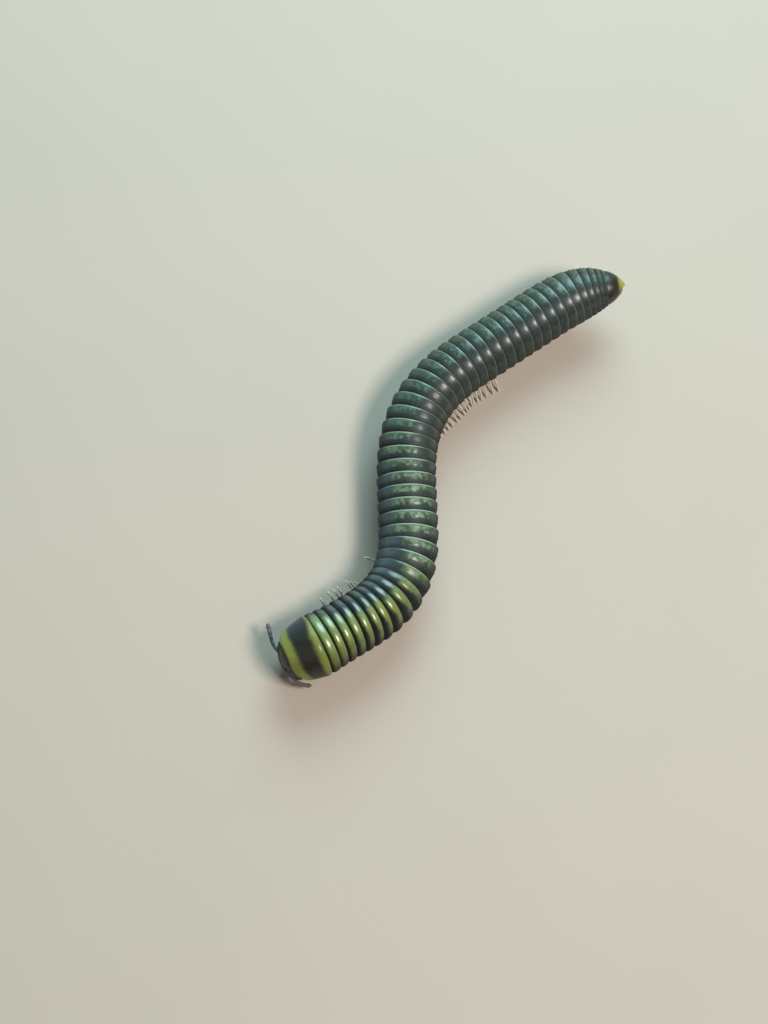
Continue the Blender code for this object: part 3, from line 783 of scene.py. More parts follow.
@dataclass
class Workshop:
    """What every assembly needs: the body plan, the placer and the groups, and how pieces are fitted to the
    body.
    """

    plan: BodyPlan
    placer: Placer
    kit: GroupKit

    def fit(self, piece: Piece, slot: str, replaces: Sequence[str] = ()) -> None:
        """Rides a finished piece on the body, shades it, and hides the solids that it stands for.

        Args:
            piece: the object, its mesh in metres.
            slot: not used.
            replaces: the solids that it stands for.
        """
        piece.data.shade_smooth()
        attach(piece, BODY)
        if replaces:
            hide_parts(*replaces)
        LOG.info("%s: %d faces", piece.name, len(piece.data.polygons))

    def set_out(
        self, name: str, blank: Blank, seats: Sequence[Seat], finish: Finish,
        slot: str, *nodes: str, **spread: float,
    ) -> None:
        """Places a blank and fits the piece for its nodes; spread is the placer's unevenness and seed."""
        self.fit(self.placer.place(name, blank, seats, finish, **spread), slot, nodes)

    def shell(self, name: str, colour: Colour, second: Colour, **settings: object) -> Finish:
        """A plain shell material with the settings of its finish."""
        return PlainShellFinish(name, colour, second, **settings).make(self.kit)

    def mesh_piece(self, name: str, mesh: bmesh.types.BMesh, finish: Finish) -> Piece:
        """Makes an object of a closed bmesh in millimetres, its faces pointing outwards."""
        bmesh.ops.recalc_face_normals(mesh, faces=mesh.faces[:])
        bmesh.ops.transform(mesh, matrix=Matrix.Scale(MM, 4), verts=mesh.verts[:])
        data = bpy.data.meshes.new(name)
        mesh.to_mesh(data)
        mesh.free()
        data.materials.append(finish)
        made = bpy.data.objects.new(name, data)
        bpy.context.scene.collection.objects.link(made)
        return made


def loft(
    rows: Sequence[Sequence[Vector]], numbers: dict[str, Callable[[int, int], float]] | None = None
) -> bmesh.types.BMesh:
    """A skin through rows of equal length that close on themselves, with a fan over each end.

    Args:
        rows: rows of points.
        numbers: for each label a function of row and column that gives a point's number.

    Returns:
        The bmesh, in the unit of its rows.
    """
    mesh = bmesh.new()
    layers = {label: mesh.verts.layers.float.new(label) for label in (numbers or {})}
    grid = []
    for row_index, row in enumerate(rows):
        grid.append([])
        for column, point in enumerate(row):
            vert = mesh.verts.new(point)
            for label, layer in layers.items():
                vert[layer] = numbers[label](row_index, column)
            grid[-1].append(vert)
    sides = len(rows[0])
    for first, second in zip(grid, grid[1:]):
        for index in range(sides):
            after = (index + 1) % sides
            mesh.faces.new((first[index], first[after], second[after], second[index]))
    for ring in (grid[0], grid[-1]):
        middle = sum((vert.co for vert in ring), Vector()) / sides
        pole = mesh.verts.new(middle)
        for layer in layers.values():
            pole[layer] = ring[0][layer]
        for index in range(sides):
            mesh.faces.new((ring[index], ring[(index + 1) % sides], pole))
    return mesh


def bezier(points: Sequence[Vector], part: float) -> Vector:
    """A point of a smooth curve guided by these points."""
    row = list(points)
    while len(row) > 1:
        row = [first.lerp(second, part) for first, second in zip(row, row[1:])]
    return row[0]


def turned_blank(profile: Sequence[Pair], sides: int) -> Blank:
    """A closed round blank along x from pairs of distance and radius, the first and last poles."""
    points = [(profile[0][0], 0.0, 0.0)]
    for along, radius in profile[1:-1]:
        for index in range(sides):
            angle = 2.0 * math.pi * index / sides
            points.append((along, radius * math.cos(angle), radius * math.sin(angle)))
    points.append((profile[-1][0], 0.0, 0.0))
    end = len(points) - 1
    last = end - sides
    faces = []
    for index in range(sides):
        after = (index + 1) % sides
        faces.append((0, 1 + after, 1 + index))
        faces.append((end, last + index, last + after))
    for row in range(len(profile) - 3):
        start = 1 + row * sides
        for index in range(sides):
            after = (index + 1) % sides
            faces.append((start + index, start + after, start + sides + after, start + sides + index))
    return Blank(points, faces)


def article_blank(sides: int) -> Blank:
    """One article of a leg or feeler, a little narrower at its root and full near its end."""
    profile = (
        (0.0, 0.0), (0.0, 0.72), (0.1, 0.86), (0.35, 0.92), (0.7, 1.0), (0.92, 0.97), (1.0, 0.82),
        (1.0, 0.0),
    )
    return turned_blank(profile, sides)


def spine_blank(sides: int) -> Blank:
    """A claw, cone or bristle: a round root that narrows to a point."""
    return turned_blank(((0.0, 0.0), (0.0, 0.8), (0.3, 1.0), (0.7, 0.55), (1.0, 0.0)), sides)


def dome_blank(sides: int, rows: int) -> Blank:
    """A low dome that bulges along x, its flat side closed."""
    profile = [(-0.3, 0.0), (-0.3, 1.0)]
    for row in range(rows):
        angle = math.pi / 2.0 * row / rows
        profile.append((math.sin(angle), math.cos(angle)))
    profile.append((1.0, 0.0))
    return turned_blank(profile, sides)


@dataclass
class RingTrain:
    """The rings behind the collum, telescoped into each other: each a hoop set on the axis."""

    shop: Workshop
    sides: int = 96
    # The outer walls of the middle, front and rear rings in turn, each from its hidden front collar to its
    # rear edge: (part of pitch, part of radius).
    common: tuple[Pair, ...] = (
        (-0.36, 0.895), (-0.2, 0.908), (-0.08, 0.917), (0.0, 0.923), (0.06, 0.928), (0.14, 0.936),
        (0.22, 0.945), (0.3, 0.955), (0.38, 0.965), (0.43, 0.97), (0.45, 0.97), (0.48, 0.974),
        (0.54, 0.98), (0.62, 0.986), (0.7, 0.992), (0.78, 0.997), (0.86, 1.001), (0.91, 1.001),
        (0.93, 0.999), (0.945, 0.998), (0.96, 1.0), (0.978, 1.001), (0.992, 0.997), (1.0, 0.986),
    )
    rolled: tuple[Pair, ...] = (
        (-0.36, 0.87), (-0.2, 0.884), (-0.08, 0.892), (0.0, 0.898), (0.06, 0.908), (0.12, 0.927),
        (0.18, 0.95), (0.24, 0.968), (0.3, 0.981), (0.36, 0.99), (0.42, 0.996), (0.48, 1.0),
        (0.55, 1.002), (0.62, 1.0015), (0.69, 0.9995), (0.76, 0.9965), (0.83, 0.992), (0.88, 0.987),
        (0.92, 0.981), (0.945, 0.976), (0.96, 0.973), (0.974, 0.969), (0.988, 0.963), (1.0, 0.95),
    )
    stepped: tuple[Pair, ...] = (
        (-0.36, 0.885), (-0.2, 0.898), (-0.08, 0.908), (0.0, 0.915), (0.06, 0.921), (0.14, 0.929),
        (0.22, 0.938), (0.3, 0.947), (0.38, 0.956), (0.43, 0.961), (0.45, 0.962), (0.48, 0.965),
        (0.54, 0.971), (0.62, 0.979), (0.7, 0.9865), (0.78, 0.9935), (0.86, 0.999), (0.91, 1.001),
        (0.93, 1.0), (0.945, 0.999), (0.96, 1.0), (0.978, 1.0), (0.992, 0.995), (1.0, 0.984),
    )
    inner: tuple[Pair, ...] = (
        (0.99, 0.962), (0.93, 0.945), (0.8, 0.925), (0.4, 0.9), (-0.1, 0.88), (-0.34, 0.872),
    )
    last_rolled: int = 11
    first_smooth: int = 42
    smoothing: float = 0.4
    # By ring: how far to the left the coloured saddle is turned, and its half width, in degrees. The band
    # goes all round the animal; the saddle's turn and width are painted light, taking the band away where
    # reflection and shade covered it.
    saddles: tuple[Point, ...] = (
        (2.0, 18.0, 70.0), (4.0, 31.0, 57.0), (5.0, 35.0, 50.0), (6.0, 30.0, 41.0), (8.0, 32.0, 38.0),
        (9.0, 30.0, 31.0), (11.0, 24.0, 26.0), (13.0, 19.0, 30.0), (14.0, 15.0, 33.0), (15.0, 3.0, 41.0),
        (18.0, 2.0, 40.0), (19.0, -7.0, 38.0), (20.0, -14.0, 36.0), (21.0, -23.0, 32.0),
        (22.0, -31.0, 28.0), (24.0, -36.0, 29.0), (28.0, -33.0, 28.0), (40.0, -33.0, 28.0),
        (44.0, -23.0, 26.0), (47.0, -23.0, 24.0),
    )
    sternum_width: float = 16.0
    sternum_depth: float = 0.05

    def blank(self, outer: Sequence[Pair]) -> Blank:
        """One hoop of unit pitch and radius."""
        profile = list(outer) + list(self.inner)
        points, down, part, inside = [], [], [], []
        for along, radius in profile:
            for index in range(self.sides):
                angle = 2.0 * math.pi * (index / self.sides - 0.5)
                turned = from_top(angle)
                reach = radius * (1.0 - self.sternum_depth * hill(turned, 180.0, self.sternum_width))
                rise = self.shop.plan.hang(reach * math.cos(angle))
                points.append((along, reach * math.sin(angle), rise))
                down.append(turned / 180.0)
                part.append(along)
                inside.append(0.0 if len(inside) < len(outer) * self.sides else 1.0)
        faces, uvs = [], []
        rows = len(profile)
        for row in range(rows):
            for index in range(self.sides):
                after = (index + 1) % self.sides
                below = (row + 1) % rows
                corners = ((row, index, 0), (below, index, 0), (below, after, 1), (row, after, 1))
                faces.append(tuple(r * self.sides + c for r, c, _ in corners))
                for r, _, step in corners:
                    uvs.append(((index + step) / self.sides, profile[r][0]))
        return Blank(points, faces, {"down": down, "part": part, "inside": inside}, uvs)

    def seat(self, ring: int) -> Seat:
        """Where a ring sits: rigid, nearly square to the axis, its top at its own station."""
        plan = self.shop.plan
        front, rear = plan.span(ring)
        middle = (front + rear) / 2.0
        place = plan.axis.at(middle)
        thick = plan.thickness(middle)
        pitch = rear - front
        taper = (plan.thickness(front) - plan.thickness(rear)) / thick
        turn, lean = plan.turn(middle)
        level = (place.aft * math.cos(turn) - place.left * math.sin(turn)).normalized()
        aft = (level * math.cos(lean) - place.up * math.sin(lean)).normalized()
        up = (place.up * math.cos(lean) + level * math.sin(lean)).normalized()
        centre = place.centre - aft * (pitch / 2.0) - place.aft * (thick * math.sin(lean))
        size = (pitch, thick * (1.0 + taper / 2.0), thick * (1.0 + taper / 2.0))
        turned, wide = looked_up(self.saddles, ring)
        return Seat(centre, aft, up, size, taper, float(ring), turned / 360.0, wide / 360.0)

    def build(self) -> None:
        """Makes the rings in four lengths of the body."""
        finish = RingFinish().make(self.shop.kit)
        last = self.shop.plan.last_ring
        half = (self.last_rolled + self.first_smooth) // 2
        low = [(along, 1.0 - (1.0 - radius) * self.smoothing) for along, radius in self.common]
        stretches = (
            ("rings_front", self.rolled, 2, self.last_rolled, ("trunk_1", "trunk_2")),
            ("rings_middle", self.common, self.last_rolled + 1, half, ("trunk_3", "trunk_4", "trunk_5")),
            ("rings_rear", self.stepped, half + 1, self.first_smooth - 1, ("trunk_6", "trunk_7", "trunk_8")),
            ("rings_last", low, self.first_smooth, last, ("trunk_9",)),
        )
        for name, outer, first, end, nodes in stretches:
            seats = [self.seat(ring) for ring in range(first, end + 1)]
            self.shop.set_out(name, self.blank(outer), seats, finish, "ring_shell", *nodes)


@dataclass
class Pores:
    """The small mouths of the defence glands, one on each side of most rings."""

    shop: Workshop
    train: RingTrain
    first: int = 6
    last: int = 45
    angle: float = 84.0
    part: float = 0.55
    width: float = 0.07
    depth: float = 0.06
    inset: float = 0.975

    def build(self) -> None:
        """Makes the pores."""
        finish = self.shop.shell("pore_rim", (0.012, 0.011, 0.009), (0.03, 0.026, 0.018))
        seats = []
        for ring in range(self.first, self.last + 1):
            hoop = self.train.seat(ring)
            left = hoop.aft.cross(hoop.up)
            for side in Side:
                angle = math.radians(self.angle) * side.value
                out = hoop.up * math.cos(angle) + left * math.sin(angle)
                centre = hoop.centre + hoop.aft * hoop.size[0] * self.part + out * hoop.size[1] * self.inset
                seats.append(Seat(centre, out, hoop.aft, (self.depth, self.width, self.width)))
        blank = dome_blank(12, 3)
        self.shop.set_out("gland_pores", blank, seats, finish, "ring_shell", unevenness=0.1, seed=3)


@dataclass
class Collum:
    """The shield behind the head: a hood whose front edge runs back to a lobe on each side."""

    shop: Workshop
    radius: float = 2.68
    front_radius: float = 2.34
    front: float = 0.4
    lobe: float = 1.9
    lobe_from: float = 30.0
    lobe_to: float = 125.0
    wall: float = 0.3
    floor: float = 2.4
    rear_turn: float = 1.5
    sides: int = 120
    # The outer wall from the rear edge forward: (part of the way, part of the radius).
    profile: tuple[Pair, ...] = (
        (-0.02, 0.95), (-0.012, 0.965), (0.0, 0.977), (0.02, 0.987), (0.05, 0.995), (0.1, 0.9995),
        (0.15, 0.998), (0.22, 0.9905), (0.3, 0.979), (0.38, 0.971), (0.46, 0.963), (0.54, 0.956),
        (0.62, 0.949), (0.7, 0.943), (0.77, 0.938), (0.83, 0.934), (0.88, 0.932), (0.92, 0.931),
        (0.95, 0.929), (0.975, 0.924), (0.992, 0.913),
    )
    lining: tuple[Point, ...] = ((1.0, 0.93, 0.06), (1.0, 0.925, 0.15), (0.97, 0.95, 0.25))

    def edge(self, angle: float) -> float:
        """The station of the front edge at an angle round the body."""
        turned = from_top(angle)
        return self.front + self.lobe * smooth((turned - self.lobe_from) / (self.lobe_to - self.lobe_from))

    def row(self, part: float, scale: float, wall: float, floor: bool = False) -> list[Vector]:
        """A row of points round the hood."""
        plan = self.shop.plan
        points = []
        for index in range(self.sides):
            angle = 2.0 * math.pi * index / self.sides
            station = self.floor if floor else plan.collum_rear + (self.edge(angle) - plan.collum_rear) * part
            along = (plan.collum_rear - station) / (plan.collum_rear - self.front)
            radius = (self.radius + (self.front_radius - self.radius) * along**2) * scale - wall
            rise = plan.hang(radius * math.cos(angle))
            across = radius * math.sin(angle)
            skew = 0.0 if floor else -across * math.tan(math.radians(self.rear_turn)) * (1.0 - min(part, 1.0))
            points.append(plan.axis.at(station + skew).point(0.0, across, rise))
        return points

    def build(self) -> None:
        """Makes the shield."""
        rows = [self.row(-0.03, 0.3, 0.0)]
        rows.extend(self.row(part, scale, 0.0) for part, scale in self.profile)
        outer = len(rows)
        rows.extend(self.row(part, scale, self.wall * wall * 4.0) for part, scale, wall in self.lining)
        rows.append(self.row(0.6, 1.0, self.wall * 1.4, floor=True))
        rows.append(self.row(0.6, 0.4, 0.0, floor=True))
        parts = [-0.03] + [part for part, _ in self.profile] + [1.0] * (len(rows) - outer)
        numbers = {
            "part": lambda row, column: parts[row],
            "inside": lambda row, column: 1.0 if row > outer + 1 else 0.0,
            "side": lambda row, column: math.sin(2.0 * math.pi * column / self.sides),
        }
        mesh = loft(rows, numbers)
        piece = self.shop.mesh_piece("collum_shield", mesh, CollumFinish().make(self.shop.kit))
        self.shop.fit(piece, "collum_shell", ("collum",))


@dataclass
class Head:
    """The rounded head capsule with its jaws, chin plate, eyes and feelers."""

    shop: Workshop
    station: float = 1.78
    height: float = 2.62
    depth: float = 1.55
    half_width: float = 1.98
    half_height: float = 1.95
    power: float = 2.4
    back: float = 2.15
    columns: int = 112
    rows: int = 64
    clypeus_flare: float = 0.16
    clypeus_from: float = 0.6
    clypeus_fade: float = 1.1
    labrum_notch: float = 0.2
    notch_width: float = 0.35
    crown_narrowing: float = 0.07
    pale_from: float = 0.5
    pale_fade: float = 1.1
    seam_depth: float = 0.03
    seam_width: float = 0.045
    eye_direction: Point = (-0.62, 0.66, 0.42)
    eye_rows: tuple[int, ...] = (4, 6, 7, 7, 6, 4)
    eye_step: float = 0.062
    socket_direction: Point = (-0.86, 0.5, -0.02)
    # The pit that a feeler stands in and the rim round it: depth or height, angle from its middle, softness.
    socket_pit: Point = (0.2, 11.5, 4.0)
    socket_rim: Point = (0.04, 12.5, 2.0)
    socket_inset: float = 0.16
    right_antenna: tuple[Point, ...] = ((-0.1, 1.5, 2.5), (0.4, 2.5, 2.35), (0.5, 3.4, 2.25))
    left_antenna: tuple[Point, ...] = ((0.5, 1.8, 2.0), (1.1, 2.3, 1.5), (1.9, 2.5, 0.95))
    article_lengths: tuple[float, ...] = (0.5, 1.15, 1.1, 1.05, 1.05, 0.95, 0.35)
    article_widths: tuple[float, ...] = (0.17, 0.15, 0.15, 0.16, 0.18, 0.19, 0.11)
    # Low plates on the capsule: name, direction (aft, left, up), half width and half length, turn in degrees.
    plates: tuple[tuple[str, Point, Pair, float], ...] = (
        ("jaw_plate", (-0.42, 0.72, -0.56), (0.27, 0.33), -18.0),
        ("jaw_base", (0.16, 0.86, -0.45), (0.24, 0.34), -8.0),
        ("chin_plate", (-0.28, 0.26, -0.92), (0.22, 0.38), 0.0),
    )
    labrum: tuple[Point, Pair] = ((-0.76, 0.0, -0.65), (0.42, 0.1))
    plate_sides: int = 56
    # From inside the capsule over the rim of a plate to its middle: (part of its width, how proud).
    plate_profile: tuple[Pair, ...] = (
        (0.2, -0.2), (0.9, -0.16), (1.0, -0.06), (1.0, 0.015), (0.975, 0.04), (0.93, 0.055), (0.85, 0.064),
        (0.7, 0.072), (0.5, 0.078), (0.25, 0.08), (0.08, 0.08),
    )
    plate_roundness: float = 0.7
    # Teeth and bristles: the direction of their roots (aft, up), how far apart they stand and their size.
    tooth_root: Pair = (-0.66, -0.75)
    tooth_spacing: float = 0.1
    tooth_lean: float = 0.3
    tooth_size: Point = (0.2, 0.07, 0.07)
    bristle_root: Pair = (-0.8, -0.5)
    bristles: tuple[float, ...] = (0.07, 0.2, 0.33, 0.46)
    bristle_droop: float = 0.8
    bristle_size: Point = (0.3, 0.014, 0.014)
    cone_ring: float = 0.05
    cone_size: Point = (0.1, 0.03, 0.03)

    def place(self) -> Place:
        """The middle of the head, level."""
        return self.shop.plan.axis.at(self.station).levelled(self.height)

    def surface(self, polar: float, turn: float, proud: float = 0.0) -> Point:
        """A point of the capsule.

        Args:
            polar: the angle down from its top.
            turn: the angle from its face round by its left.
            proud: how far outside the capsule the point lies.

        Returns:
            Distances aft, left and up of its middle.
        """
        direction = (-math.sin(polar) * math.cos(turn), math.sin(polar) * math.sin(turn), math.cos(polar))
        halves = (self.depth, self.half_width, self.half_height)
        total = sum(abs(part / half) ** self.power for part, half in zip(direction, halves))
        reach = total ** (-1.0 / self.power) + proud
        aft, left, up = (part * reach for part in direction)
        low = smooth((-up - self.clypeus_from) / self.clypeus_fade)
        facing = max(math.cos(turn), 0.0) * math.sin(polar)
        aft -= self.clypeus_flare * low * facing
        up += self.labrum_notch * low * facing * hill(left, 0.0, self.notch_width)
        left *= 1.0 - self.crown_narrowing * smooth(up / self.half_height)
        return aft, left, up

    def relief(self, polar: float, turn: float) -> float:
        """How far features lift or sink the capsule at a point."""
        aft, left, up = self.surface(polar, turn)
        crown = smooth((up + 0.2) / 0.8) * (1.0 if math.cos(turn) > 0.0 or polar < 0.6 else 0.4)
        sunk = self.seam_depth * hill(left, 0.0, self.seam_width) * crown
        for side in (1.0, -1.0):
            socket = Vector(self.socket_direction).normalized()
            direction = Vector((aft, left * side, up)).normalized()
            apart = math.degrees(direction.angle(socket))
            deep, edge, soft = self.socket_pit
            sunk += deep * smooth((edge - apart) / soft)
            high, middle, width = self.socket_rim
            sunk -= high * hill(apart, middle, width)
        return -sunk

    def build_capsule(self, finish: Finish) -> None:
        """Makes the capsule, cut off behind where the collum covers it."""
        place = self.place()
        limit = self.back - self.station
        mesh = bmesh.new()
        pale = mesh.verts.layers.float.new("tone")
        top = mesh.verts.new(place.point(*self.surface(0.0, 0.0)))
        bottom = mesh.verts.new(place.point(*self.surface(math.pi, 0.0)))
        grid = []
        for row in range(1, self.rows):
            polar = math.pi * row / self.rows
            grid.append([])
            for column in range(self.columns):
                turn = 2.0 * math.pi * column / self.columns
                aft, left, up = self.surface(polar, turn, self.relief(polar, turn))
                vert = mesh.verts.new(place.point(min(aft, limit), left, up))
                vert[pale] = smooth((-up - self.pale_from) / self.pale_fade) * max(math.cos(turn), 0.0)
                grid[-1].append(vert)
        for column in range(self.columns):
            after = (column + 1) % self.columns
            mesh.faces.new((top, grid[0][column], grid[0][after]))
            mesh.faces.new((bottom, grid[-1][after], grid[-1][column]))
            for first, second in zip(grid, grid[1:]):
                mesh.faces.new((first[column], second[column], second[after], first[after]))
        piece = self.shop.mesh_piece("head_capsule", mesh, finish)
        self.shop.fit(piece, "head_shell", ("head", "jaw_left", "jaw_right", "chin_plate"))

    def spot(self, direction: Vector, side: Side, proud: float) -> Vector:
        """The point of the capsule in a direction (aft, left, up) on one side."""
        aim = direction.normalized()
        aft, left, up = self.surface(math.acos(aim.z), math.atan2(aim.y, -aim.x), proud)
        return self.place().point(aft, left * side.value, up)

    def build_plate(
        self,
        name: str,
        direction: Point,
        halves: Pair,
        turned: float,
        side: Side,
        finish: Finish,
    ) -> None:
        """Makes one low plate with rounded corners that lies on the capsule.

        Args:
            name: its name.
            direction: where its middle lies, seen from the middle of the capsule.
            halves: its half width and half length, as parts of the capsule's radius.
            turned: how far it is turned about that direction, in degrees.
            side: the side that it lies on.
            finish: its material.
        """
        base = Vector(direction).normalized()
        guide = Vector((0.0, 0.0, 1.0)) if abs(base.z) < 0.85 else Vector((1.0, 0.0, 0.0))
        across = base.cross(guide).normalized()
        along = across.cross(base)
        angle = math.radians(turned)
        first = across * math.cos(angle) + along * math.sin(angle)
        second = along * math.cos(angle) - across * math.sin(angle)
        rows = []
        for scale, proud in self.plate_profile:
            rows.append([])
            for index in range(self.plate_sides):
                turn = 2.0 * math.pi * index / self.plate_sides
                round_spot = (math.cos(turn), math.sin(turn))
                x, y = (math.copysign(abs(part) ** self.plate_roundness, part) * scale for part in round_spot)
                aim = base + first * x * halves[0] + second * y * halves[1]
                rows[-1].append(self.spot(aim, side, proud))
        piece = self.shop.mesh_piece(name, loft(rows), finish)
        self.shop.fit(piece, "head_shell")

    def build_mouth(self, finish: Finish, bristle: Finish) -> None:
        """Makes the labrum over the mouth, its three teeth and a row of bristles."""
        direction, halves = self.labrum
        self.build_plate("labrum", direction, halves, 0.0, Side.LEFT, finish)
        place = self.place()
        down = -place.up
        teeth = []
        aft, up = self.tooth_root
        for step in (-1, 0, 1):
            root = self.spot(Vector((aft, self.tooth_spacing * step, up)), Side.LEFT, 0.0)
            aim = (down - place.aft * self.tooth_lean).normalized()
            teeth.append(Seat(root, aim, (place.up - place.aft).normalized(), self.tooth_size))
        self.shop.set_out("labrum_teeth", spine_blank(12), teeth, finish, "head_shell")
        hairs = []
        aft, up = self.bristle_root
        for left in self.bristles:
            for sign in (-1.0, 1.0):
                root = self.spot(Vector((aft, left * sign, up)), Side.LEFT, -0.02)
                out = (root - place.centre).normalized()
                aim = (out + down * self.bristle_droop).normalized()
                hairs.append(Seat(root, aim, aim.cross(place.left).normalized(), self.bristle_size))
        blank = spine_blank(6)
        self.shop.set_out("face_bristles", blank, hairs, bristle, "head_shell", unevenness=0.12, seed=4)

    def seat(self, direction: Point, side: Side, reach: float) -> Place:
        """A place on one side of the capsule whose aft direction points outwards."""
        place = self.place()
        aft, left, up = direction
        outwards = (place.aft * aft + place.left * left * side.value + place.up * up).normalized()
        across = outwards.cross(place.up).normalized()
        return Place(place.centre + outwards * reach, outwards, across, across.cross(outwards))

    def reach(self, direction: Point) -> float:
        """How far the capsule reaches from its middle along a direction."""
        total = sum(abs(part) ** 2 for part in direction) ** 0.5
        halves = (self.depth, self.half_width, self.half_height)
        shares = (abs(part / total / half) ** self.power for part, half in zip(direction, halves))
        return sum(shares) ** (-1.0 / self.power)

    def build_eye(self, side: Side, lens: Finish) -> None:
        """Makes one eye: rows of round lenses."""
        seats = []
        place = self.place()
        aft0, left0, up0 = Vector(self.eye_direction).normalized()
        polar0, turn0 = math.acos(up0), math.atan2(left0, -aft0)
        for row, count in enumerate(self.eye_rows):
            for index in range(count):
                polar = polar0 + (row - (len(self.eye_rows) - 1) / 2.0) * self.eye_step
                column = index - (count - 1) / 2.0 + 0.25 * (row % 2)
                turn = turn0 + column * self.eye_step / math.sin(polar0)
                centre = self.surface(polar, turn, -0.015)
                outer = self.surface(polar, turn, 0.1)
                centre, outer = (place.point(a, l * side.value, u) for a, l, u in (centre, outer))
                outwards = (outer - centre).normalized()
                upright = outwards.cross(place.left).normalized()
                width = self.eye_step * self.half_width * 0.43
                seats.append(Seat(centre, outwards, upright, (width * 0.8, width, width)))
        name = f"eye_lenses_{side.word}"
        blank = dome_blank(10, 4)
        self.shop.set_out(name, blank, seats, lens, "eye", f"eye_{side.word}", unevenness=0.06, seed=5)

    def build_feeler(self, side: Side, finish: Finish, cone: Finish) -> None:
        """Makes one antenna: seven articles that swell towards a club, the last with four cones."""
        axis = self.shop.plan.axis
        guide = self.right_antenna if side is Side.RIGHT else self.left_antenna
        start = self.seat(self.socket_direction, side, self.reach(self.socket_direction) - self.socket_inset)
        points = [start.centre]
        for station, outwards, height in guide:
            place = axis.at(station)
            spot = place.centre + place.left * outwards * side.value
            points.append(Vector((spot.x, spot.y, height)))
        stops = [0.0]
        for length in self.article_lengths:
            stops.append(stops[-1] + length)
        joints = [bezier(points, stop / stops[-1]) for stop in stops]
        seats = []
        for index, (first, second) in enumerate(zip(joints, joints[1:])):
            along = second - first
            width = self.article_widths[index]
            up = along.cross(start.left).normalized()
            seats.append(Seat(first, along.normalized(), up, (along.length * 1.05, width, width)))
        name = f"antenna_{side.word}"
        self.shop.set_out(name, article_blank(20), seats, finish, "limb", name)
        tip = seats[-1]
        end = joints[-1]
        across = tip.aft.cross(tip.up)
        cones = []
        for turned in (45.0, 135.0, 225.0, 315.0):
            angle = math.radians(turned)
            shift = (across * math.cos(angle) + tip.up * math.sin(angle)) * self.cone_ring
            cones.append(Seat(end + shift - tip.aft * 0.03, tip.aft, tip.up, self.cone_size))
        self.shop.set_out(f"antenna_cones_{side.word}", spine_blank(8), cones, cone, "limb")

    def build(self) -> None:
        """Makes the whole head."""
        shell = self.shop.shell
        look = {"roughness": (0.4, 0.5), "coat": 0.15, "specular": 0.25}
        look.update(fade="tone", third=(0.16, 0.12, 0.05))
        self.build_capsule(shell("head_shell", (0.022, 0.024, 0.023), (0.042, 0.044, 0.04), **look))
        look = {"roughness": (0.3, 0.42), "coat": 0.25, "specular": 0.35}
        plate = shell("face_plate", (0.045, 0.04, 0.03), (0.085, 0.07, 0.045), **look)
        self.build_mouth(plate, shell("face_bristle", (0.3, 0.2, 0.1), (0.42, 0.3, 0.17)))
        look = {"roughness": (0.06, 0.1), "coat": 0.6}
        lens = shell("eye_lens", (0.004, 0.004, 0.005), (0.01, 0.01, 0.011), **look)
        skin = shell("antenna_skin", (0.06, 0.065, 0.066), (0.11, 0.115, 0.11), coat=0.15)
        cone = shell("antenna_cone", (0.4, 0.3, 0.2), (0.5, 0.4, 0.3))
        for side in Side:
            for name, direction, halves, turned in self.plates:
                self.build_plate(f"{name}_{side.word}", direction, halves, turned, side, plate)
            self.build_eye(side, lens)
            self.build_feeler(side, skin, cone)


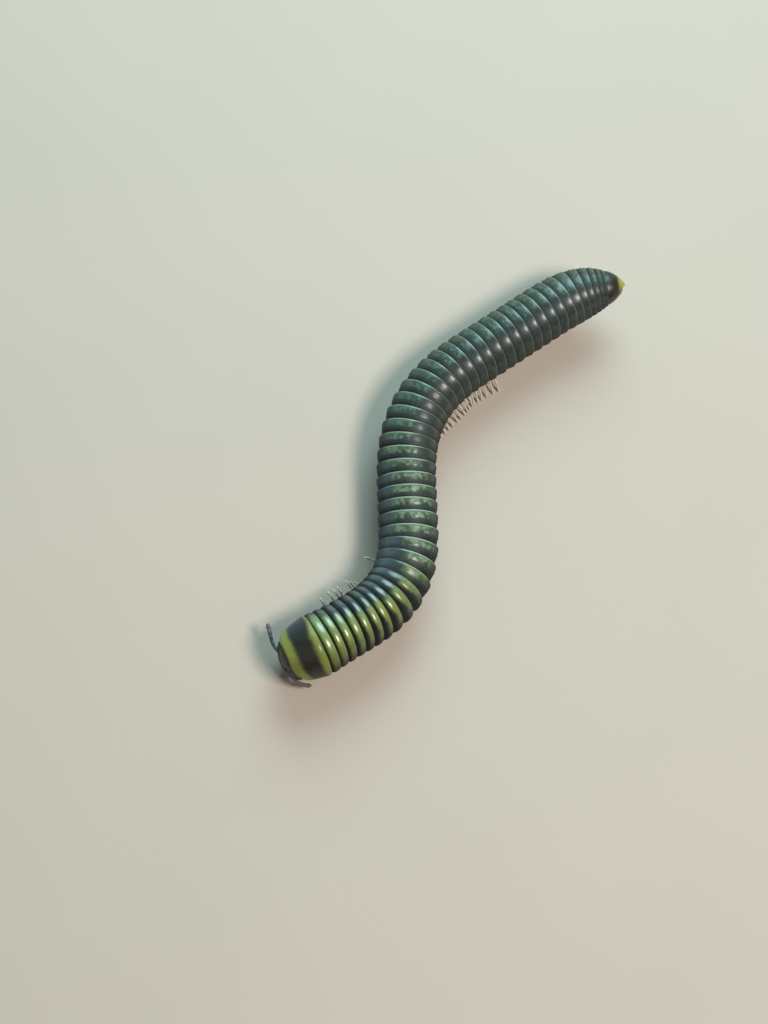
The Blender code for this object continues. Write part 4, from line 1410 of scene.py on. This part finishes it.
@dataclass
class Legs:
    """The walking legs: one pair on the first rings, two pairs on the others, in waves."""

    shop: Workshop
    single_last: int = 5
    last: int = 43
    coxa: Pair = (0.3, 0.16)
    standing_reach: float = 3.0
    tucked_reach: float = 1.55
    # The rings whose feet are held under the body: side, first and last ring.
    tucked: tuple[tuple[Side, int, int], ...] = ((Side.LEFT, 0, 23), (Side.RIGHT, 0, 50), (Side.LEFT, 34, 50))
    # The pairs whose right leg is lifted out: station of the pair and part of the way.
    lifted: tuple[Pair, ...] = (
        (5.64, 0.95), (6.46, 1.0), (7.01, 0.95), (7.41, 1.0), (8.59, 1.0), (8.99, 0.9), (9.86, 0.7),
        (13.6, 0.9),
    )
    # How far inside its foot a knee lies and how high, for a leg that stands and one that is tucked in.
    standing_knee: Pair = (0.72, 1.5)
    tucked_knee: Pair = (0.1, 0.9)
    lifted_reach: float = 3.5
    lifted_height: float = 2.3
    foot_height: float = 0.11
    swing: float = 0.3
    stretch: float = 0.16
    uneven: float = 0.05
    claw_size: Point = (0.14, 0.035, 0.035)
    claw_inset: float = 0.04
    near_station: float = 0.18
    wave_rings: float = 6.0
    wave_shift: float = 2.1
    lengths: tuple[float, ...] = (0.1, 0.18, 0.2, 0.17, 0.16, 0.19)
    widths: tuple[float, ...] = (0.165, 0.15, 0.135, 0.12, 0.105, 0.085)

    def pairs(self) -> list[tuple[int, float]]:
        """The ring and the station of each pair."""
        found = []
        for ring in range(2, self.last + 1):
            front, rear = self.shop.plan.span(ring)
            parts = (0.6,) if ring <= self.single_last else (0.28, 0.78)
            found.extend((ring, front + (rear - front) * part) for part in parts)
        return found

    def lift(self, station: float, side: Side) -> float:
        """How far a leg is lifted out, from 0 to 1."""
        near = [part for where, part in self.lifted if abs(station - where) < self.near_station]
        return near[0] if near and side is Side.RIGHT else 0.0

    def joints(self, ring: int, station: float, side: Side) -> list[Vector]:
        """The joints of a leg from its hip to the tip of its foot."""
        plan = self.shop.plan
        place = plan.axis.at(station).levelled(0.0)
        scale = plan.thickness(station) / plan.radius
        belly = plan.axis.rise(station) - plan.thickness(station) * plan.belly
        front, rear = plan.span(ring)
        turned = 2.0 * math.pi * (ring + (station - front) / (rear - front)) / self.wave_rings
        if side is Side.LEFT:
            turned += 2.0 * math.pi * self.wave_shift / self.wave_rings
        swing = self.swing * math.sin(turned) + self.uneven * math.sin(7.1 * station)
        held = any(side is which and low <= ring <= high for which, low, high in self.tucked)
        standing = self.standing_reach + self.stretch * math.sin(turned + 1.0)
        standing += self.uneven * math.sin(11.3 * station)
        reach = self.tucked_reach if held else standing
        lift = self.lift(station, side)
        reach = reach * scale * (1.0 - lift) + self.lifted_reach * lift
        height = max(self.lifted_height * lift, self.foot_height)
        sign = side.value
        knee, knee_height = self.tucked_knee if held else self.standing_knee
        knee_aft = 0.5 * swing * (1.0 - lift) + 0.6 * lift
        foot_aft = swing * (1.0 - lift) + 0.2 * lift
        spots = (
            place.point(0.0, sign * self.coxa[0] * scale, belly + self.coxa[1]),
            place.point(0.1 * swing + 0.3 * lift, sign * 1.05 * scale, belly - 0.16 + 0.1 * height),
            place.point(knee_aft, sign * (reach - knee), knee_height * scale + 0.35 * height),
            place.point(foot_aft, sign * reach, height),
        )
        stops = [0.0]
        for length in self.lengths:
            stops.append(stops[-1] + length)
        return [bezier(spots, stop / stops[-1]) for stop in stops]

    def build(self) -> None:
        """Makes the legs of each side with their claws."""
        look = {"coat": 0.2, "fade": "tone", "third": (0.68, 0.6, 0.53)}
        finish = self.shop.shell("leg_skin", (0.28, 0.14, 0.09), (0.4, 0.23, 0.16), **look)
        claw_finish = self.shop.shell("leg_claw", (0.24, 0.14, 0.09), (0.34, 0.22, 0.15))
        for side in Side:
            seats, claws = [], []
            for ring, station in self.pairs():
                joints = self.joints(ring, station, side)
                scale = self.shop.plan.thickness(station) / self.shop.plan.radius
                for index, (first, second) in enumerate(zip(joints, joints[1:])):
                    along = second - first
                    width = self.widths[index] * scale
                    aft = along.normalized()
                    up = (Vector((0.0, 0.0, 1.0)) - aft * aft.z).normalized()
                    tone = (index + 0.5) / len(self.lengths)
                    # Lifted legs are paler along their whole length: their pale ends are their own, the rest
                    # is painted light.
                    if self.lift(station, side) > 0.0:
                        tone = 0.6 + 0.4 * tone
                    seats.append(Seat(first, aft, up, (along.length * 1.06, width, width), tone=tone))
                tip = seats[-1]
                root = joints[-1] - tip.aft * self.claw_inset
                claws.append(Seat(root, tip.aft, tip.up, self.claw_size))
            article, spine = article_blank(8), spine_blank(5)
            set_out = self.shop.set_out
            set_out(f"legs_{side.word}", article, seats, finish, "limb", unevenness=0.03, seed=7)
            set_out(f"claws_{side.word}", spine, claws, claw_finish, "limb", unevenness=0.1, seed=9)


@dataclass
class Tail:
    """The last section: a blunt yellow-tipped plate over two bulging valves."""

    shop: Workshop
    sides: int = 96
    start: float = 47.9
    side_edge: float = 49.3
    tip: float = 49.97
    tip_width: float = 36.0
    yellow_from: float = 48.9
    yellow_length: float = 0.8
    yellow_width: float = 75.0
    base_part: float = 0.95
    top_width: float = 62.0
    steps: int = 30
    # The lining behind the rear edge: (part of the length, how proud).
    lining: tuple[Pair, ...] = ((1.005, -0.03), (1.0, -0.07), (0.9, -0.1), (0.4, -0.16), (0.4, -1.0))
    # A valve: station of its middle, half length, then half width and height as parts of the base.
    valve_station: float = 49.0
    valve_halves: Point = (0.84, 0.6, 0.78)
    valve_drop: float = 0.12
    valve_gap: float = 0.02
    valve_rim: float = 0.05
    valve_rows: int = 20
    valve_sides: int = 40

    @property
    def base(self) -> float:
        """The radius of the section at its front."""
        plan = self.shop.plan
        return plan.thickness(plan.rears[-1]) * self.base_part

    def edge(self, angle: float) -> float:
        """The station of the rear edge at an angle round the body."""
        return self.side_edge + (self.tip - self.side_edge) * hill(from_top(angle), 0.0, self.tip_width)

    def row(self, part: float, proud: float) -> list[Vector]:
        """A row of points round the section at a part of its length."""
        plan = self.shop.plan
        points = []
        for index in range(self.sides):
            angle = 2.0 * math.pi * index / self.sides
            station = self.start + (self.edge(angle) - self.start) * part
            along = min(max((station - plan.rears[-1]) / (plan.axis.length - plan.rears[-1]), 0.0), 1.0)
            top = hill(from_top(angle), 0.0, self.top_width)
            radius = self.base * (1.0 - (1.05 - 0.21 * top) * along**1.7) + proud
            rise = radius * math.cos(angle) * (plan.belly if math.cos(angle) < 0.0 else 1.0)
            points.append(plan.axis.at(station).point(0.0, radius * math.sin(angle), rise))
        return points

    def build_plate(self) -> None:
        """Makes the section itself, with a rounded edge and a lining."""
        outer = [index / self.steps for index in range(self.steps + 1)]
        rows = [self.row(0.0, -0.8)] + [self.row(part, 0.0) for part in outer]
        rows += [self.row(part, proud) for part, proud in self.lining]

        def yellow(row: int, column: int) -> float:
            """How yellow a point is, from its row and column."""
            angle = 2.0 * math.pi * column / self.sides
            part = outer[min(max(row - 1, 0), self.steps)]
            station = self.start + (self.edge(angle) - self.start) * part
            come = smooth((station - self.yellow_from) / self.yellow_length)
            return come * hill(from_top(angle), 0.0, self.yellow_width)

        look = {"roughness": (0.36, 0.5), "coat": 0.1, "fade": "tone", "third": (0.32, 0.3, 0.05)}
        finish = self.shop.shell("tail_shell", (0.016, 0.013, 0.01), (0.03, 0.026, 0.018), **look)
        piece = self.shop.mesh_piece("telson_plate", loft(rows, {"tone": yellow}), finish)
        self.shop.fit(piece, "tail_shell", ("telson",))

    def build_valve(self, side: Side, finish: Finish) -> None:
        """Makes one valve: half a bulging shell with a raised rim along the middle slit."""
        place = self.shop.plan.axis.at(self.valve_station)
        length, width, height = self.valve_halves
        grid = []
        for row in range(1, self.valve_rows):
            polar = math.pi * row / self.valve_rows
            grid.append([])
            for column in range(self.valve_sides):
                turn = 2.0 * math.pi * column / self.valve_sides
                back = math.cos(polar)
                across = max(math.sin(polar) * math.sin(turn), 0.0)
                up = height * self.base * (math.sin(polar) * math.cos(turn)) - self.valve_drop
                rim = self.valve_rim * hill(across, 0.06, 0.05) if back > 0.0 else 0.0
                out = side.value * (self.valve_gap + width * self.base * across)
                grid[-1].append(place.point(length * back + rim, out, up))
        name = f"anal_valve_{side.word}"
        self.shop.fit(self.shop.mesh_piece(name, loft(grid), finish), "tail_shell", (name,))

    def build(self) -> None:
        """Makes the tail."""
        self.build_plate()
        finish = self.shop.shell("valve_shell", (0.05, 0.045, 0.03), (0.09, 0.075, 0.045))
        for side in Side:
            self.build_valve(side, finish)


@dataclass
class Studio:
    """The pale floor, the soft lights and the camera over the animal."""

    shop: Workshop
    tilt: Pair = (0.16, 0.28)
    target: Point = (-5.8, -4.025, 3.4)
    distance: float = 160.0
    lens: float = 67.5
    floor_half: float = 600.0
    floor_colour: Colour = (0.53, 0.45, 0.39)
    floor_shade: float = 0.94
    sky: Colour = (0.84, 0.88, 0.92)
    sky_strength: float = 0.16
    # Each light: name, place, size, power and colour.
    lights: tuple[tuple[str, Point, Pair, float, Colour], ...] = (
        ("window", (1.0, 182.0, 155.0), (165.0, 165.0), 0.62, (0.6, 0.96, 1.0)),
        ("lamp", (104.0, -70.0, 273.0), (88.0, 88.0), 0.7, (1.0, 0.96, 0.88)),
    )

    def build_floor(self) -> None:
        """A wide level floor at the height of the feet."""
        mesh = bmesh.new()
        bmesh.ops.create_grid(mesh, x_segments=8, y_segments=8, size=self.floor_half)
        made = Material("studio_floor", self.shop.kit)
        pad = made.pad
        tone = pad.cloud(60.0, 4.0)
        second = tuple(part * self.floor_shade for part in self.floor_colour)
        made.set(Base_Color=pad.mix(tone, self.floor_colour, second), Roughness=0.85)
        floor = self.shop.mesh_piece("studio_floor", mesh, made.data)
        if floor.data.polygons[0].normal.z < 0.0:
            floor.data.flip_normals()

    def build_light(self, name: str, spot: Point, across: Pair, power: float, colour: Colour) -> None:
        """A rectangular light that faces the animal."""
        data = bpy.data.lights.new(name, "AREA")
        data.shape = "RECTANGLE"
        data.size, data.size_y = (side * MM for side in across)
        data.energy = power
        data.color = colour
        made = bpy.data.objects.new(name, data)
        bpy.context.scene.collection.objects.link(made)
        made.location = Vector(spot) * MM
        aim = Vector(self.target) - Vector(spot)
        made.rotation_mode = "QUATERNION"
        made.rotation_quaternion = aim.to_track_quat("-Z", "Y")

    def build_camera(self) -> None:
        """The camera, leaning a little from straight above, upright along +Y."""
        lean = math.hypot(*self.tilt)
        angle = math.asin(lean)
        away = (self.tilt[0] / lean, self.tilt[1] / lean)
        back = Vector((-away[0] * math.sin(angle), -away[1] * math.sin(angle), math.cos(angle)))
        across = Vector((0.0, 1.0, 0.0)).cross(back).normalized()
        matrix = Matrix((across, back.cross(across), back)).transposed().to_4x4()
        matrix.translation = (Vector(self.target) + back * self.distance) * MM
        camera = bpy.data.objects.new("camera", bpy.data.cameras.new("camera"))
        bpy.context.scene.collection.objects.link(camera)
        camera.matrix_world = matrix
        camera.data.lens = self.lens
        camera.data.sensor_width = 36.0
        camera.data.clip_start = 0.001
        bpy.context.scene.camera = camera

    def build(self) -> None:
        """Makes the stage."""
        self.build_floor()
        self.build_camera()
        world = bpy.data.worlds.new("studio_world")
        world.use_nodes = True
        background = world.node_tree.nodes["Background"]
        background.inputs["Color"].default_value = (*self.sky, 1.0)
        background.inputs["Strength"].default_value = self.sky_strength
        bpy.context.scene.world = world
        bpy.context.scene.view_settings.view_transform = "Standard"
        for light in self.lights:
            self.build_light(*light)


def main() -> None:
    """Builds every piece in order."""
    logging.basicConfig(level=logging.INFO)
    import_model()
    shop = Workshop(BodyPlan(), Placer(), GroupKit())
    Studio(shop).build()
    train = RingTrain(shop)
    train.build()
    Pores(shop, train).build()
    Collum(shop).build()
    Head(shop).build()
    Legs(shop).build()
    Tail(shop).build()


if __name__ == "__main__":
    main()
